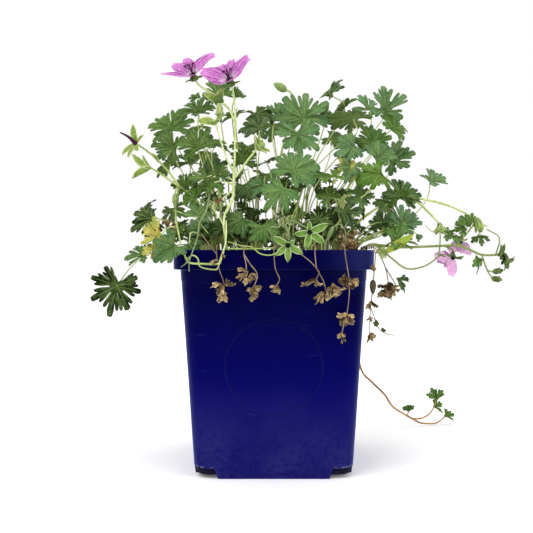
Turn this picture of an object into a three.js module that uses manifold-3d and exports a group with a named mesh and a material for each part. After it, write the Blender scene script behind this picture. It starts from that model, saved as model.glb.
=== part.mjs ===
// Hardy geranium in a square nursery pot, millimetres, +Z up.
// The origin is the middle of the pot's underside, -Y is the side with the raised ring.
import * as THREE from 'three';
import { mergeVertices } from 'three/addons/utils/BufferGeometryUtils.js';
import Module from 'manifold-3d';

const wasm = await Module();
wasm.setup();

// Pot
const potHeight = 174;
const rimWidth = 152;
const rimDepth = 14.7;
const wallTopWidth = 141.6;
const wallFootWidth = 122;
const cornerRadius = 15;
const wall = 2;
const floorBottom = 8;
const floorTop = 10;
const flapWidth = 90;
const footSize = 14;
const footOffset = 47;
const padRadius = 17;
const drainRadius = 6;
const drainSides = 8;
const drainOffset = 28;
const ringRadius = 36.5;
const ringHeight = 86;
const ringWire = 0.9;

// Soil and the holes that the stems stand in
const soilTop = 160;
const holeDepth = 9.3;
const clearance = 0.3;
const stubRadius = 2.4;
const stubTop = 165;

// Leaves, petals and stems
const bladeThickness = 0.75;
const petioleRadius = 0.8;
const stemRadius = 1.2;
const flowerStemRadius = 1.7;
const toothedFrom = 18;
const joinShare = 0.035;

const colours = {
  pot: 0x10135a,
  soil: 0x3a2b20,
  leaf: 0x567a39,
  greyLeaf: 0x627d54,
  darkLeaf: 0x3c5a22,
  stem: 0x9cb55f,
  petal: 0xdd95dc,
  stamen: 0x3a1026,
  yellow: 0xb3aa47,
  dry: 0x7a6a48,
  runner: 0xb08a5a,
};

const object = new THREE.Group();

// Small helpers

let seed = 7;
function random(low, high) {
  seed = (seed * 16807) % 2147483647;
  return low + ((high - low) * seed) / 2147483647;
}

function vector(point) {
  return new THREE.Vector3(point[0], point[1], point[2]);
}

// A closed three.js geometry as a solid with its faces pointing out.
function solid(geometry) {
  geometry.deleteAttribute('normal');
  geometry.deleteAttribute('uv');
  const merged = mergeVertices(geometry, 1e-5);
  const position = merged.attributes.position;
  const triVerts = new Uint32Array(merged.index.array);
  const a = new THREE.Vector3();
  const b = new THREE.Vector3();
  const c = new THREE.Vector3();
  let volume = 0;
  for (let i = 0; i < triVerts.length; i += 3) {
    a.fromBufferAttribute(position, triVerts[i]);
    b.fromBufferAttribute(position, triVerts[i + 1]);
    c.fromBufferAttribute(position, triVerts[i + 2]);
    volume += a.dot(b.cross(c));
  }
  if (volume < 0) {
    for (let i = 0; i < triVerts.length; i += 3) {
      [triVerts[i], triVerts[i + 1]] = [triVerts[i + 1], triVerts[i]];
    }
  }
  const vertProperties = new Float32Array(position.array);
  return new wasm.Manifold(new wasm.Mesh({ numProp: 3, vertProperties, triVerts }));
}

function join(pieces) {
  let whole = pieces[0];
  for (const piece of pieces.slice(1)) whole = whole.add(piece);
  return whole;
}

function addPart(name, shape, colour, roughness = 0.6) {
  const mesh = shape.getMesh();
  const geometry = new THREE.BufferGeometry();
  geometry.setAttribute('position', new THREE.BufferAttribute(mesh.vertProperties, 3));
  geometry.setIndex(new THREE.BufferAttribute(mesh.triVerts, 1));
  geometry.computeVertexNormals();
  const material = new THREE.MeshStandardMaterial({ color: colour, roughness, metalness: 0 });
  const part = new THREE.Mesh(geometry, material);
  part.name = name;
  object.add(part);
}

// A bar of few sides along a smooth curve through the points, its ends drawn in to a share.
function tube(points, radius, steps, sides = 4, endShare = 1) {
  const section = new THREE.Shape();
  for (let i = 0; i < sides; i += 1) {
    const angle = (2 * Math.PI * i) / sides;
    const x = radius * Math.cos(angle);
    const y = radius * Math.sin(angle);
    if (i === 0) section.moveTo(x, y);
    else section.lineTo(x, y);
  }
  const path = new THREE.CatmullRomCurve3(points.map(vector));
  const options = { steps, bevelEnabled: false, extrudePath: path };
  const geometry = new THREE.ExtrudeGeometry(section, options);
  const position = geometry.attributes.position;
  const corner = new THREE.Vector3();
  for (const end of [path.getPoint(0), path.getPoint(1)]) {
    for (let i = 0; i < position.count; i += 1) {
      corner.fromBufferAttribute(position, i);
      if (corner.distanceTo(end) < 1.01 * radius) corner.lerp(end, 1 - endShare);
      position.setXYZ(i, corner.x, corner.y, corner.z);
    }
  }
  return solid(geometry);
}

// An upright bar of few sides.
function post(x, y, bottom, top, radius, sides = 4) {
  const geometry = new THREE.CylinderGeometry(radius, radius, top - bottom, sides, 1);
  geometry.rotateX(Math.PI / 2);
  geometry.translate(x, y, (top + bottom) / 2);
  return solid(geometry);
}

function ball(at, radius) {
  const geometry = new THREE.OctahedronGeometry(radius, 0);
  geometry.translate(at[0], at[1], at[2]);
  return solid(geometry);
}

// A thin plate with the given outline (counterclockwise, in X and Y), split alike on both faces
// into a fan about its centre, with each point lifted by a formula.
function blade(outline, centre, lift, thickness = bladeThickness) {
  const count = outline.length;
  const geometry = new THREE.CylinderGeometry(1, 1, thickness, count, 1);
  geometry.rotateX(Math.PI / 2);
  const position = geometry.attributes.position;
  for (let i = 0; i < position.count; i += 1) {
    const x = position.getX(i);
    const y = position.getY(i);
    let target = centre;
    if (Math.hypot(x, y) > 0.5) {
      const turn = (Math.atan2(y, x) + Math.PI / 2) / (2 * Math.PI);
      target = outline[Math.round(turn * count + count) % count];
    }
    const raised = position.getZ(i) + lift(target[0], target[1]);
    position.setXYZ(i, target[0], target[1], raised);
  }
  return geometry;
}

// Turns a plate so that its +Y points to tip and its upper side to face, and moves it to its place.
function place(geometry, at, face, tip) {
  const up = vector(face).normalize();
  const ahead = vector(tip);
  ahead.addScaledVector(up, -ahead.dot(up)).normalize();
  const side = new THREE.Vector3().crossVectors(ahead, up);
  const matrix = new THREE.Matrix4().makeBasis(side, ahead, up);
  matrix.setPosition(at[0], at[1], at[2]);
  geometry.applyMatrix4(matrix);
  return solid(geometry);
}

// Pot

function roundedSquare(width, radius) {
  const half = width / 2;
  const shape = new THREE.Shape();
  const corners = [[1, -1, -90], [1, 1, 0], [-1, 1, 90], [-1, -1, 180]];
  for (const [signX, signY, startDegrees] of corners) {
    const start = THREE.MathUtils.degToRad(startDegrees);
    const centreX = signX * (half - radius);
    const centreY = signY * (half - radius);
    shape.absarc(centreX, centreY, radius, start, start + Math.PI / 2, false);
  }
  return shape;
}

// Half the outer width of the tapered wall at a height.
function wallHalf(z) {
  const share = z / (potHeight - rimDepth);
  return THREE.MathUtils.lerp(wallFootWidth, wallTopWidth, share) / 2;
}

// A rounded square block whose width follows the wall's taper, set in by an inset.
function taperedBlock(bottom, top, inset) {
  const half = wallHalf(top) - inset;
  const shape = roundedSquare(2 * half, cornerRadius - inset);
  const options = { depth: top - bottom, bevelEnabled: false, curveSegments: 2 };
  const geometry = new THREE.ExtrudeGeometry(shape, options);
  const position = geometry.attributes.position;
  for (let i = 0; i < position.count; i += 1) {
    const z = position.getZ(i) + bottom;
    const scale = (wallHalf(z) - inset) / half;
    position.setXYZ(i, position.getX(i) * scale, position.getY(i) * scale, z);
  }
  return solid(geometry);
}

function straightBlock(width, radius, bottom, top) {
  const options = { depth: top - bottom, bevelEnabled: false, curveSegments: 2 };
  const geometry = new THREE.ExtrudeGeometry(roundedSquare(width, radius), options);
  geometry.translate(0, 0, bottom);
  return solid(geometry);
}

function box(width, depth, height, x, y, z) {
  const geometry = new THREE.BoxGeometry(width, depth, height);
  geometry.translate(x, y, z);
  return solid(geometry);
}

function raisedRing() {
  const geometry = new THREE.TorusGeometry(ringRadius, ringWire, 3, 24);
  geometry.rotateX(Math.PI / 2);
  const slope = (wallHalf(potHeight - rimDepth) - wallHalf(0)) / (potHeight - rimDepth);
  geometry.rotateX(Math.atan(slope));
  geometry.translate(0, -wallHalf(ringHeight), ringHeight);
  return solid(geometry);
}

function buildPot() {
  const rimBottom = potHeight - rimDepth;
  const rim = straightBlock(rimWidth, cornerRadius, rimBottom, potHeight);
  let pot = taperedBlock(0, rimBottom + 1, 0).add(rim).add(raisedRing());
  pot = pot.subtract(taperedBlock(floorTop, rimBottom - 3, wall));
  pot = pot.subtract(straightBlock(wallTopWidth - 4.4, cornerRadius - 2.2, rimBottom - 4, rimBottom + 4));
  pot = pot.subtract(straightBlock(rimWidth - 2 * wall, cornerRadius - wall, rimBottom + 3, potHeight + 1));
  pot = pot.subtract(taperedBlock(-1, floorBottom, wall));
  const notch = wallTopWidth / 2 - flapWidth / 2;
  const notchMiddle = flapWidth / 2 + notch / 2;
  for (const signX of [-1, 1]) {
    for (const signY of [-1, 1]) {
      const x = signX * notchMiddle;
      const y = signY * notchMiddle;
      pot = pot.subtract(box(notch, notch, 2 * floorBottom, x, y, 0));
      const footHeight = floorBottom + 0.5;
      const footX = signX * footOffset;
      const footY = signY * footOffset;
      pot = pot.add(box(footSize, footSize, footHeight, footX, footY, footHeight / 2));
      const [drainX, drainY] = [signX * drainOffset, signY * drainOffset];
      pot = pot.subtract(post(drainX, drainY, floorBottom - 1, floorTop + 1, drainRadius, drainSides));
    }
  }
  const pad = new THREE.CylinderGeometry(padRadius, padRadius, floorBottom + 0.5, 12);
  pad.rotateX(Math.PI / 2);
  pad.translate(0, 0, (floorBottom + 0.5) / 2);
  return pot.add(solid(pad));
}

// Leaves

const fiveLobes = [[-112, 0.78], [-56, 0.95], [0, 1], [56, 0.95], [112, 0.78]];
const threeLobes = fiveLobes.slice(1, 4);

// Outline of a palmate leaf: each lobe is cut into three teeth, or plain on a small leaf.
// The middle lobe points to +Y and the stalk joins at the origin.
function leafOutline(size, lobes) {
  const toothedLobe = [[-28, 0.34], [-16, 0.88], [0, 1], [16, 0.88]];
  const plainLobe = [[-28, 0.38], [0, 1]];
  const outline = [];
  for (const [middle, length] of lobes) {
    for (const [offset, reach] of size >= toothedFrom ? toothedLobe : plainLobe) {
      const angle = THREE.MathUtils.degToRad(middle + offset);
      const radius = size * length * reach;
      outline.push([-radius * Math.sin(angle), radius * Math.cos(angle)]);
    }
  }
  outline.push([0, -0.22 * size]);
  return outline;
}

// A leaf that is flat about its join and bends from there out.
function leafBlade(at, size, face, tip, droop, lobes = fiveLobes) {
  const wave = random(0.03, 0.09);
  const phase = random(0, 6);
  const flatShare = 0.35;
  const lift = (x, y) => {
    const radius = Math.max(0, Math.hypot(x, y) - flatShare * size);
    const angle = Math.atan2(y, x);
    return (2 * droop * radius * radius) / size + 1.5 * wave * radius * Math.sin(2 * angle + phase);
  };
  const fanShare = size >= toothedFrom ? 0.12 : 0.27;
  const geometry = blade(leafOutline(size, lobes), [0, fanShare * size], lift);
  geometry.translate(joinShare * size, 0, 0);
  return place(geometry, at, face, tip);
}

// A stalk that rises from the crown and comes to the blade from behind.
function stalk(root, at, via, turn = 0, face = [0, 0, 1]) {
  const spread = 0.42 * stubRadius;
  const startX = root[0] + spread * Math.cos(turn);
  const startY = root[1] + spread * Math.sin(turn);
  const points = [[startX, startY, soilTop + 2]];
  if (via) points.push(...via);
  else {
    const x = root[0] + 0.22 * (at[0] - root[0]);
    const y = root[1] + 0.22 * (at[1] - root[1]);
    const rise = at[2] - soilTop;
    points.push([x, y, soilTop + 0.5 * rise + 4]);
    points.push(along(at, [face[0], face[1], face[2] + 3], -0.14 * rise));
  }
  points.push(at);
  return tube(points, petioleRadius, points.length - 1, 3, 0.3);
}

// One row per leaf: [x, y, z] of the join, size, facing direction, direction of the middle lobe,
// droop of the lobes and, where the stalk doesn't rise straight to it, points on its way.
function leaf(at, size, face, tip, droop = -0.18, via = null) {
  return { at, size, face, tip, droop, via };
}

function leafyStem(root, leaves) {
  const pieces = [post(root[0], root[1], soilTop - holeDepth + clearance, stubTop, stubRadius)];
  leaves.forEach(({ at, size, face, tip, droop, via }, index) => {
    const turn = Math.PI * (0.25 + 0.5 * index);
    pieces.push(stalk(root, at, via, turn, face), leafBlade(at, size, face, tip, droop));
  });
  return join(pieces);
}

const leafyStems = [
  { name: 'leafy_stem_left_low', root: [-50, -8], colour: 'darkLeaf', leaves: [
    leaf([-98, -18, 199], 18, [-1, -7, 6], [-9, 0, -5]),
    leaf([-104, -26, 170], 15, [-2, -6, 6], [-9, -2, 3], -0.1, [[-66, -14, 182], [-86, -20, 180]]),
    leaf([-130, -16, 145], 22, [0, -9, 2], [-2, -1, -5], -0.15,
      [[-64, -6, 178], [-88, -8, 176], [-112, -11, 164]]),
  ] },
  { name: 'leafy_stem_left_front', root: [-52, -46], colour: 'greyLeaf', leaves: [
    leaf([-74, -83, 176], 17, [0, -9, 3], [-4, 0, 7], -0.12, [[-64, -54, 184], [-77, -70, 187]]),
    leaf([-57, -52, 191], 11, [0, -8, 4], [-3, 0, 5]),
    leaf([-57, -62, 200], 13, [0, -7, 6], [2, 0, 6]),
  ] },
  { name: 'leafy_stem_left_middle', root: [-48, -22], colour: 'leaf', leaves: [
    leaf([-83, -9, 273], 20, [-1, -8, 5], [-4, 0, 8]),
    leaf([-80, -23, 255], 17, [0, -9, 3], [-6, 0, 2]),
    leaf([-68, -4, 245], 16, [0, -5, 8], [-9, -1, -1]),
    leaf([-70, -26, 225], 12, [-2, -9, 2], [-4, 0, 6]),
  ] },
  { name: 'leafy_stem_left_upper', root: [-38, -30], colour: 'leaf', leaves: [
    leaf([-59, -32, 282], 19, [0, -6, 8], [-6, -2, 4]),
    leaf([-58, -44, 254], 18, [0, -9, 2], [-4, 0, 7]),
    leaf([-47, -28, 257], 12, [2, -3, 9], [9, 0, 1]),
    leaf([-52, -40, 231], 14, [-6, 6, 4], [-4, 0, -8], -0.05, [[-42, -34, 205], [-46, -38, 230]]),
    leaf([-61, -46, 214], 11, [-2, -8, 3], [-6, 0, 2], -0.1, [[-42, -34, 188], [-55, -42, 206]]),
  ] },
  { name: 'leafy_stem_left_back', root: [-34, -8], colour: 'darkLeaf', leaves: [
    leaf([-45, -8, 301], 15, [0, -9, 3], [-4, 0, 8]),
    leaf([-60, -15, 297], 9, [0, -5, 8], [-9, 0, 3]),
    leaf([-50, -14, 238], 14, [-5, -8, 1], [0, 0, 9]),
    leaf([-31, 6, 302], 9, [2, -8, 3], [5, 0, 6]),
  ] },
  { name: 'leafy_stem_middle_left', root: [-18, -14], colour: 'darkLeaf', leaves: [
    leaf([-14, -6, 285], 18, [1, -3, 9], [6, -5, 0]),
    leaf([-11, -26, 271], 18, [0, -6, 7], [-3, -3, 4]),
    leaf([-24, -26, 244], 13, [0, -9, 1], [0, 0, 9]),
    leaf([-22, -36, 224], 13, [-1, -8, 5], [2, -2, -6]),
  ] },
  { name: 'leafy_stem_middle', root: [0, -26], colour: 'greyLeaf', leaves: [
    leaf([2, -4, 286], 14, [1, -5, 8], [5, 0, 5]),
    leaf([24, -22, 279], 25, [0, -9, 2], [1, 0, 9], -0.1),
    leaf([19, -38, 264], 20, [0, -8, 4], [1, -1, -8], -0.15),
  ] },
  { name: 'leafy_stem_middle_front', root: [8, -48], colour: 'greyLeaf', leaves: [
    leaf([15, -60, 234], 20, [0, -8, 4], [4, -1, 6], -0.12),
    leaf([6, -66, 219], 17, [0, -8, 4], [-5, -1, -6], -0.12),
    leaf([-8, -46, 224], 13, [-1, -6, 6], [-3, -1, -5]),
  ] },
  { name: 'leafy_stem_front_low', root: [-18, -52], colour: 'leaf', leaves: [
    leaf([-24, -58, 196], 14, [0, -8, 4], [-5, 0, -5]),
    leaf([-8, -64, 191], 15, [1, -8, 5], [1, -1, -6]),
    leaf([-40, -48, 190], 12, [-2, -8, 4], [-4, 0, 6]),
  ] },
  { name: 'leafy_stem_front_right', root: [32, -52], colour: 'darkLeaf', leaves: [
    leaf([34, -62, 196], 13, [0, -8, 3], [0, 0, 8]),
    leaf([54, -56, 203], 14, [2, -8, 4], [3, -1, -5]),
    leaf([42, -57, 213], 12, [1, -8, 5], [-4, 0, 6]),
  ] },
  { name: 'leafy_stem_middle_right', root: [20, -14], colour: 'darkLeaf', leaves: [
    leaf([43, -14, 281], 15, [2, -7, 5], [6, 0, 8]),
    leaf([47, 2, 303], 14, [-7, -4, 4], [3, 0, 6]),
    leaf([59, 14, 292], 14, [-7, -3, 5], [3, 0, 5]),
    leaf([64, -25, 278], 19, [0, 4, 8], [-9, -1, 1], -0.1),
  ] },
  { name: 'leafy_stem_right_upper', root: [34, -4], colour: 'greyLeaf', leaves: [
    leaf([92, 8, 292], 22, [0, -8, 3], [1, 0, 9], -0.12),
    leaf([79, -9, 288], 17, [0, -6, 7], [-6, -2, 3]),
  ] },
  { name: 'leafy_stem_right_outer', root: [46, 2], colour: 'leaf', leaves: [
    leaf([101, 10, 276], 18, [5, -7, 2], [3, 0, 6]),
    leaf([102, -8, 248], 18, [1, -9, 2], [8, 0, 1], -0.1),
    leaf([81, -14, 261], 17, [0, -8, 4], [-3, 0, 7]),
  ] },
  { name: 'leafy_stem_right_inner', root: [34, -28], colour: 'greyLeaf', leaves: [
    leaf([62, -36, 255], 15, [0, -9, 2], [-5, 0, -2]),
    leaf([82, -36, 246], 17, [0, -8, 5], [5, 0, 5]),
    leaf([60, -42, 238], 12, [1, -7, 5], [-2, -1, -5]),
  ] },
  { name: 'leafy_stem_right_front', root: [46, -40], colour: 'leaf', leaves: [
    leaf([80, -54, 232], 16, [-1, -8, 5], [-6, 0, -2]),
    leaf([68, -44, 217], 16, [-2, -6, 6], [-6, -1, -5]),
    leaf([46, -50, 230], 18, [0, -3, 9], [-9, -1, -1], -0.08),
  ] },
  { name: 'leafy_stem_right_low', root: [58, -20], colour: 'greyLeaf', leaves: [
    leaf([132, 6, 232], 15, [0, -5, 8], [6, 0, 4], 0.1, [[78, -14, 194], [108, -6, 198], [127, 4, 214]]),
    leaf([104, -20, 194], 17, [0, -8, 4], [5, 0, 6], -0.12, [[76, -22, 188], [92, -20, 192]]),
    leaf([90, -8, 194], 13, [-1, -8, 5], [-6, 0, 3], -0.12, [[72, -14, 186], [83, -10, 192]]),
    leaf([99, -27, 194], 13, [0, -8, 3], [-6, 0, -5], -0.12, [[76, -26, 184], [90, -30, 191]]),
    leaf([115, -30, 190], 10, [2, -8, 1], [1, 0, -8], -0.1, [[74, -30, 186], [92, -32, 197], [108, -32, 196]]),
  ] },
];

// Leaves of the far side, on the dome that the near ones lie on:
// [compass degrees from +X, degrees above the horizon, reach, size].
const domeMiddle = [6, 0, 190];
const farStems = [
  { root: [-46, 14], leaves: [[176, 12, 122, 18], [160, 30, 118, 16], [168, 52, 112, 16]] },
  { root: [-32, 28], leaves: [[146, 10, 118, 16], [136, 38, 116, 17], [152, 66, 106, 15]] },
  { root: [-14, 36], leaves: [[122, 16, 112, 17], [112, 44, 112, 18], [120, 2, 114, 14]] },
  { root: [6, 24], leaves: [[96, 60, 110, 18], [98, 30, 108, 16], [66, 76, 104, 15]] },
  { root: [12, 46], leaves: [[84, 10, 112, 17], [74, 36, 110, 16], [102, -4, 110, 13]] },
  { root: [32, 34], leaves: [[58, 18, 112, 18], [52, 48, 114, 17], [64, -2, 112, 14]] },
  { root: [48, 24], leaves: [[34, 12, 120, 18], [28, 36, 120, 16], [42, 30, 104, 14]] },
];

function domeLeaf([compass, height, reach, size]) {
  const angle = THREE.MathUtils.degToRad(compass);
  const above = THREE.MathUtils.degToRad(height);
  const out = [Math.cos(angle) * Math.cos(above), Math.sin(angle) * Math.cos(above), Math.sin(above)];
  const at = domeMiddle.map((middle, axis) => middle + out[axis] * reach);
  const face = [out[0], out[1], out[2] + 0.7];
  const tip = [out[0] + random(-0.5, 0.5), out[1] + random(-0.5, 0.5), -0.2 + random(-0.4, 0.3)];
  const overRim = [[0.5, soilTop + 26], [0.8, soilTop + 30]];
  const via = at[2] > soilTop + 55 ? null : overRim;
  return { at, size, face, tip, via };
}

function farStem({ root, leaves }) {
  const rows = leaves.map((row) => {
    const { at, size, face, tip, via } = domeLeaf(row);
    const way = via && via.map(([share, z]) => [
      THREE.MathUtils.lerp(root[0], at[0], share),
      THREE.MathUtils.lerp(root[1], at[1], share),
      THREE.MathUtils.lerp(z, Math.max(at[2], z), share),
    ]);
    return leaf(at, size, face, tip, -0.2, way);
  });
  return leafyStem(root, rows);
}

// Where the other stems stand in the soil
const mainRoot = [-34, -58];
const leftRoot = [-50, -62];
const topRoot = [-2, -8];
const sprayRoot = [56, -4];
const horizontalRoot = [58, -36];
const loopRoot = [60, -56];
const cornerRoot = [62, -26];
const edgeRoot = [62, -63];
const yellowRoot = [-60, -34];
const clumpRoot = [50, -52];
const runnerRoot = [48, 46];
const drapeRow = -64;

// Calyxes, buds and flowers

// A ring of five lobes that opens like a cup. Each row gives a point of one lobe: its turn in
// degrees and its distance from the middle. The thickness is kept square to the slope.
function cup({ at, axis, length, open, start }, lobe) {
  const slope = 1 / Math.tan(THREE.MathUtils.degToRad(open));
  const flat = Math.sin(THREE.MathUtils.degToRad(open));
  const outline = [];
  for (let i = 0; i < 5; i += 1) {
    for (const [offset, reach] of lobe) {
      const angle = start + THREE.MathUtils.degToRad(72 * i + offset);
      const out = flat * reach * length;
      outline.push([-out * Math.sin(angle), out * Math.cos(angle)]);
    }
  }
  const lift = (x, y) => slope * Math.hypot(x, y);
  const sideways = Math.abs(axis[2]) > Math.abs(axis[0]) ? [1, 0, 0] : [0, 0, 1];
  return place(blade(outline, [0, 0], lift, bladeThickness / flat), at, axis, sideways);
}

// Half the upright thickness of a cup at its middle.
function cupHalf(open) {
  return bladeThickness / Math.sin(THREE.MathUtils.degToRad(open)) / 2;
}

function calyx(at, axis, length, open, start = 0.3) {
  const broad = [[-13, 0.55], [0, 1], [13, 0.55], [36, 0.2]];
  const plain = [[0, 1], [36, 0.25]];
  return cup({ at, axis, length, open, start }, length > 10 ? broad : plain);
}

// Stands a turned shape at a point, with its own axis along the given one.
function stand(geometry, at, axis) {
  geometry.rotateX(Math.PI / 2);
  const turn = new THREE.Quaternion();
  turn.setFromUnitVectors(new THREE.Vector3(0, 0, 1), vector(axis).normalize());
  geometry.applyQuaternion(turn);
  geometry.translate(at[0], at[1], at[2]);
  return solid(geometry);
}

// A closed bud: a slim egg with its tip along the axis.
function bud(at, axis, length, radius) {
  const profile = [[0, 0], [1, 0.3], [0.75, 0.7], [0, 1]];
  const points = profile.map(([out, along]) => new THREE.Vector2(out * radius, along * length));
  return stand(new THREE.LatheGeometry(points, 5), at, axis);
}

// Places a point a distance along an axis from another point.
function along(at, axis, distance) {
  return vector(at).addScaledVector(vector(axis).normalize(), distance).toArray();
}

const calyxOpen = 100;

function petalSeat({ at, axis, open }) {
  return along(at, axis, cupHalf(calyxOpen) + cupHalf(open) + 1.5 * clearance);
}

function petals(flower) {
  const lobe = [[-33, 0.3], [-27, 0.66], [-13, 0.99], [0, 0.9], [13, 0.99], [27, 0.66]];
  return cup({ ...flower, at: petalSeat(flower) }, lobe);
}

// The dark column in the middle of a flower, flared where the stamens part.
function stamens(flower) {
  const foot = 0.7;
  const rise = foot / Math.tan(THREE.MathUtils.degToRad(flower.open));
  const seat = along(petalSeat(flower), flower.axis, cupHalf(flower.open) + rise + clearance);
  const height = 0.3 * flower.length;
  const profile = [[0, 0], [foot, 0], [0.8, 0.6 * height], [1.9, height], [0, 0.85 * height]];
  const geometry = new THREE.LatheGeometry(profile.map(([x, y]) => new THREE.Vector2(x, y)), 5);
  return stand(geometry, seat, flower.axis);
}

const flowers = [
  { name: 'flower_left', at: [-62, -46, 308], axis: [-4, -2, 9], length: 23, open: 62, start: 0.5 },
  { name: 'flower_middle', at: [-33, -60, 303], axis: [-4, -4, 9], length: 22, open: 52, start: 0.2 },
  { name: 'flower_low', at: [145, -22, 168], axis: [-3, -1, -8], length: 15, open: 46, start: 0.9 },
  { name: 'flower_behind', at: [157, 4, 182], axis: [-1, 1, -8], length: 14, open: 40, start: 0.4 },
];
const [flowerLeft, flowerMiddle, flowerLow, flowerBehind] = flowers;

function calyxUnder({ at, axis }, length) {
  return calyx(at, axis, length, calyxOpen, 0.8);
}

// A stem's foot in its hole, and the stem through the points above it.
function rootedStem(root, points, radius, steps, sides = 4) {
  const [x, y] = root;
  const foot = post(x, y, soilTop - holeDepth + clearance, soilTop + 5, stubRadius);
  return foot.add(tube([[x, y, soilTop], [x, y, soilTop + 5], ...points], radius, steps, sides));
}

// A leaf of three lobes that sits on a flowering stem without a long stalk.
function freeLeaf(at, size, face, tip, droop = -0.15) {
  return leafBlade(at, size, face, tip, droop, threeLobes);
}

// Main flowering stem with the two open flowers' calyxes, bracts and small leaves.
function mainFloweringStem() {
  const fork = [-29, -56, 270];
  const bractCup = [-41, -52, 288];
  return join([
    rootedStem(mainRoot, [[-37, -64, 186], [-37, -64, 200], [-31, -60, 212], [-30, -58, 226], fork],
      flowerStemRadius, 8),
    tube([fork, [-34, -54, 281], bractCup, [-49, -50, 295], [-57, -48, 300], flowerLeft.at], stemRadius, 6, 3),
    tube([fork, [-30, -58, 289], flowerMiddle.at], stemRadius, 3, 3),
    calyxUnder(flowerLeft, 8),
    calyxUnder(flowerMiddle, 9),
    calyx([-41, -52, 285], [-1, -2, 6], 10, 40),
    tube([[-34, -54, 281], [-41, -58, 282]], 0.8, 1, 3),
    bud([-41, -58, 283], [0, 0, -1], 12, 3),
    tube([[-30, -57, 232], [-36, -58, 244], [-44, -58, 269]], 0.9, 3, 3),
    calyx([-44, -58, 269], [-1, -1, 6], 12, 62, 0.1),
    tube([[-29, -58, 229], [-20, -62, 241], [-11, -64, 251]], stemRadius, 3, 3),
    calyx([-11, -64, 251], [2, -2, 3], 11, 58),
    tube([[-30, -58, 223], [-38, -59, 226], [-45, -58, 225]], 1, 2, 3),
    freeLeaf([-41, -60, 231], 9, [1, -9, 1], [4, 0, 8]),
    freeLeaf([-44, -57, 225], 14, [0, -4, 8], [-8, -1, -1]),
    tube([[-30, -58, 226], [-41, -60, 231]], 0.8, 1, 3),
    tube([[-31, -60, 212], [-39, -62, 211], [-46, -62, 207], [-42, -63, 199]], 0.9, 4, 3),
  ]);
}

// Left spray: seed head, open calyx and two hanging buds on a stem that loops over the front rim.
function leftSpray() {
  const joint = [-74, -36, 224];
  const seedHead = [-111, -30, 260];
  const beak = along(seedHead, [-6, -3, 4], -1);
  return join([
    rootedStem(leftRoot, [[-47, -70, 173], [-46, -76, 177.5], [-47, -80.5, 170], [-54, -81.5, 164],
      [-62, -81, 165], [-67, -79, 174], [-70, -70, 186], [-75, -50, 198], [-76, -40, 210], joint],
    stemRadius, 17, 3),
    tube([joint, [-82, -34, 234], [-91, -32, 244], [-101, -30, 252], seedHead], 1, 4, 3),
    tube([joint, [-83, -36, 229], [-91, -37, 235], [-98, -37, 239]], 1, 3, 3),
    calyx(seedHead, [-3, -4, 2], 15, 78, 0.2),
    bud(beak, [-6, -3, 4], 16, 2),
    calyx([-98, -37, 239], [-5, -2, 0], 14, 52, 0.9),
    tube([joint, [-76, -44, 216]], 0.8, 1, 3),
    bud([-76, -44, 218], [0, 0, -1], 12, 3),
    tube([joint, [-69, -33, 216]], 0.8, 1, 3),
    bud([-69, -33, 218], [0, 0, -1], 10, 3),
  ]);
}

function topBudStem() {
  return join([
    rootedStem(topRoot, [[2, -8, 210], [6, -6, 250], [15, -7, 280], [17, -8, 292], [17, -8, 299],
      [15, -8, 305], [11, -8, 307]], 0.9, 10, 3),
    bud([13, -8, 307], [-7, 0, 4], 12, 3.6),
    tube([[10, -6.5, 265], [12, -9, 284]], 0.8, 1, 3),
    bud([12, -9, 283], [-1, 0, 8], 8, 2.8),
  ]);
}

// A star-shaped old calyx that leans out over the rim on a looping stalk.
function starCalyx(root, points, axis, length, start) {
  const at = points[points.length - 1];
  return rootedStem(root, points, 1, 8, 3).add(calyx(at, axis, length, 84, start));
}

// Right spray: an arching stem with a whorl of leaves and two long branches.
function rightSpray() {
  const node = [105, -8, 217];
  const lowCalyx = [136, -8, 196];
  const tipNode = [168, 0, 197];
  return join([
    rootedStem(sprayRoot, [[66, -10, 192], [80, -12, 205], [93, -10, 212], node], stemRadius, 6),
    freeLeaf([105, -9, 217.5], 18, [0, -7, 4], [3, 0, 6], -0.1),
    freeLeaf([109, -7.5, 216], 12, [1, -5, 6], [9, 0, -1], -0.1),
    freeLeaf([101, -9.5, 216.4], 13, [-1, -7, 4], [-6, 0, 7], -0.1),
    freeLeaf([93, -10.8, 213], 10, [-1, -6, 6], [-6, -2, 5], -0.1),
    tube([node, [118, -8, 213], [126, -8, 206], lowCalyx], 1, 4, 3),
    calyx(lowCalyx, [1, -1, -6], 10, 40),
    tube([lowCalyx, [131, -9, 189], [124, -10, 194]], 0.6, 3, 3),
    freeLeaf([143, -8, 186], 14, [1, -4, 7], [8, -1, 1], -0.2),
    tube([lowCalyx, [143, -8, 186]], 0.8, 1, 3),
    tube([node, [122, -4, 216], [144, -2, 211], [160, 0, 204], tipNode], 1, 6, 3),
    bud([167, 0, 201], [4, 0, -8], 14, 4.4),
    tube([tipNode, flowerBehind.at], 0.9, 1, 3),
    calyxUnder(flowerBehind, 6),
    tube([tipNode, [158, -6, 192]], 0.8, 1, 3),
    freeLeaf([161, -5, 194], 12, [0, -8, 3], [-4, 0, 7]),
    freeLeaf([158, -6, 191], 11, [0, -6, 5], [-8, 0, -1]),
    tube([tipNode, [172, 2, 185]], 0.8, 2, 3),
    freeLeaf([172, 2, 186], 10, [1, -8, 3], [1, 0, -8]),
  ]);
}

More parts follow.
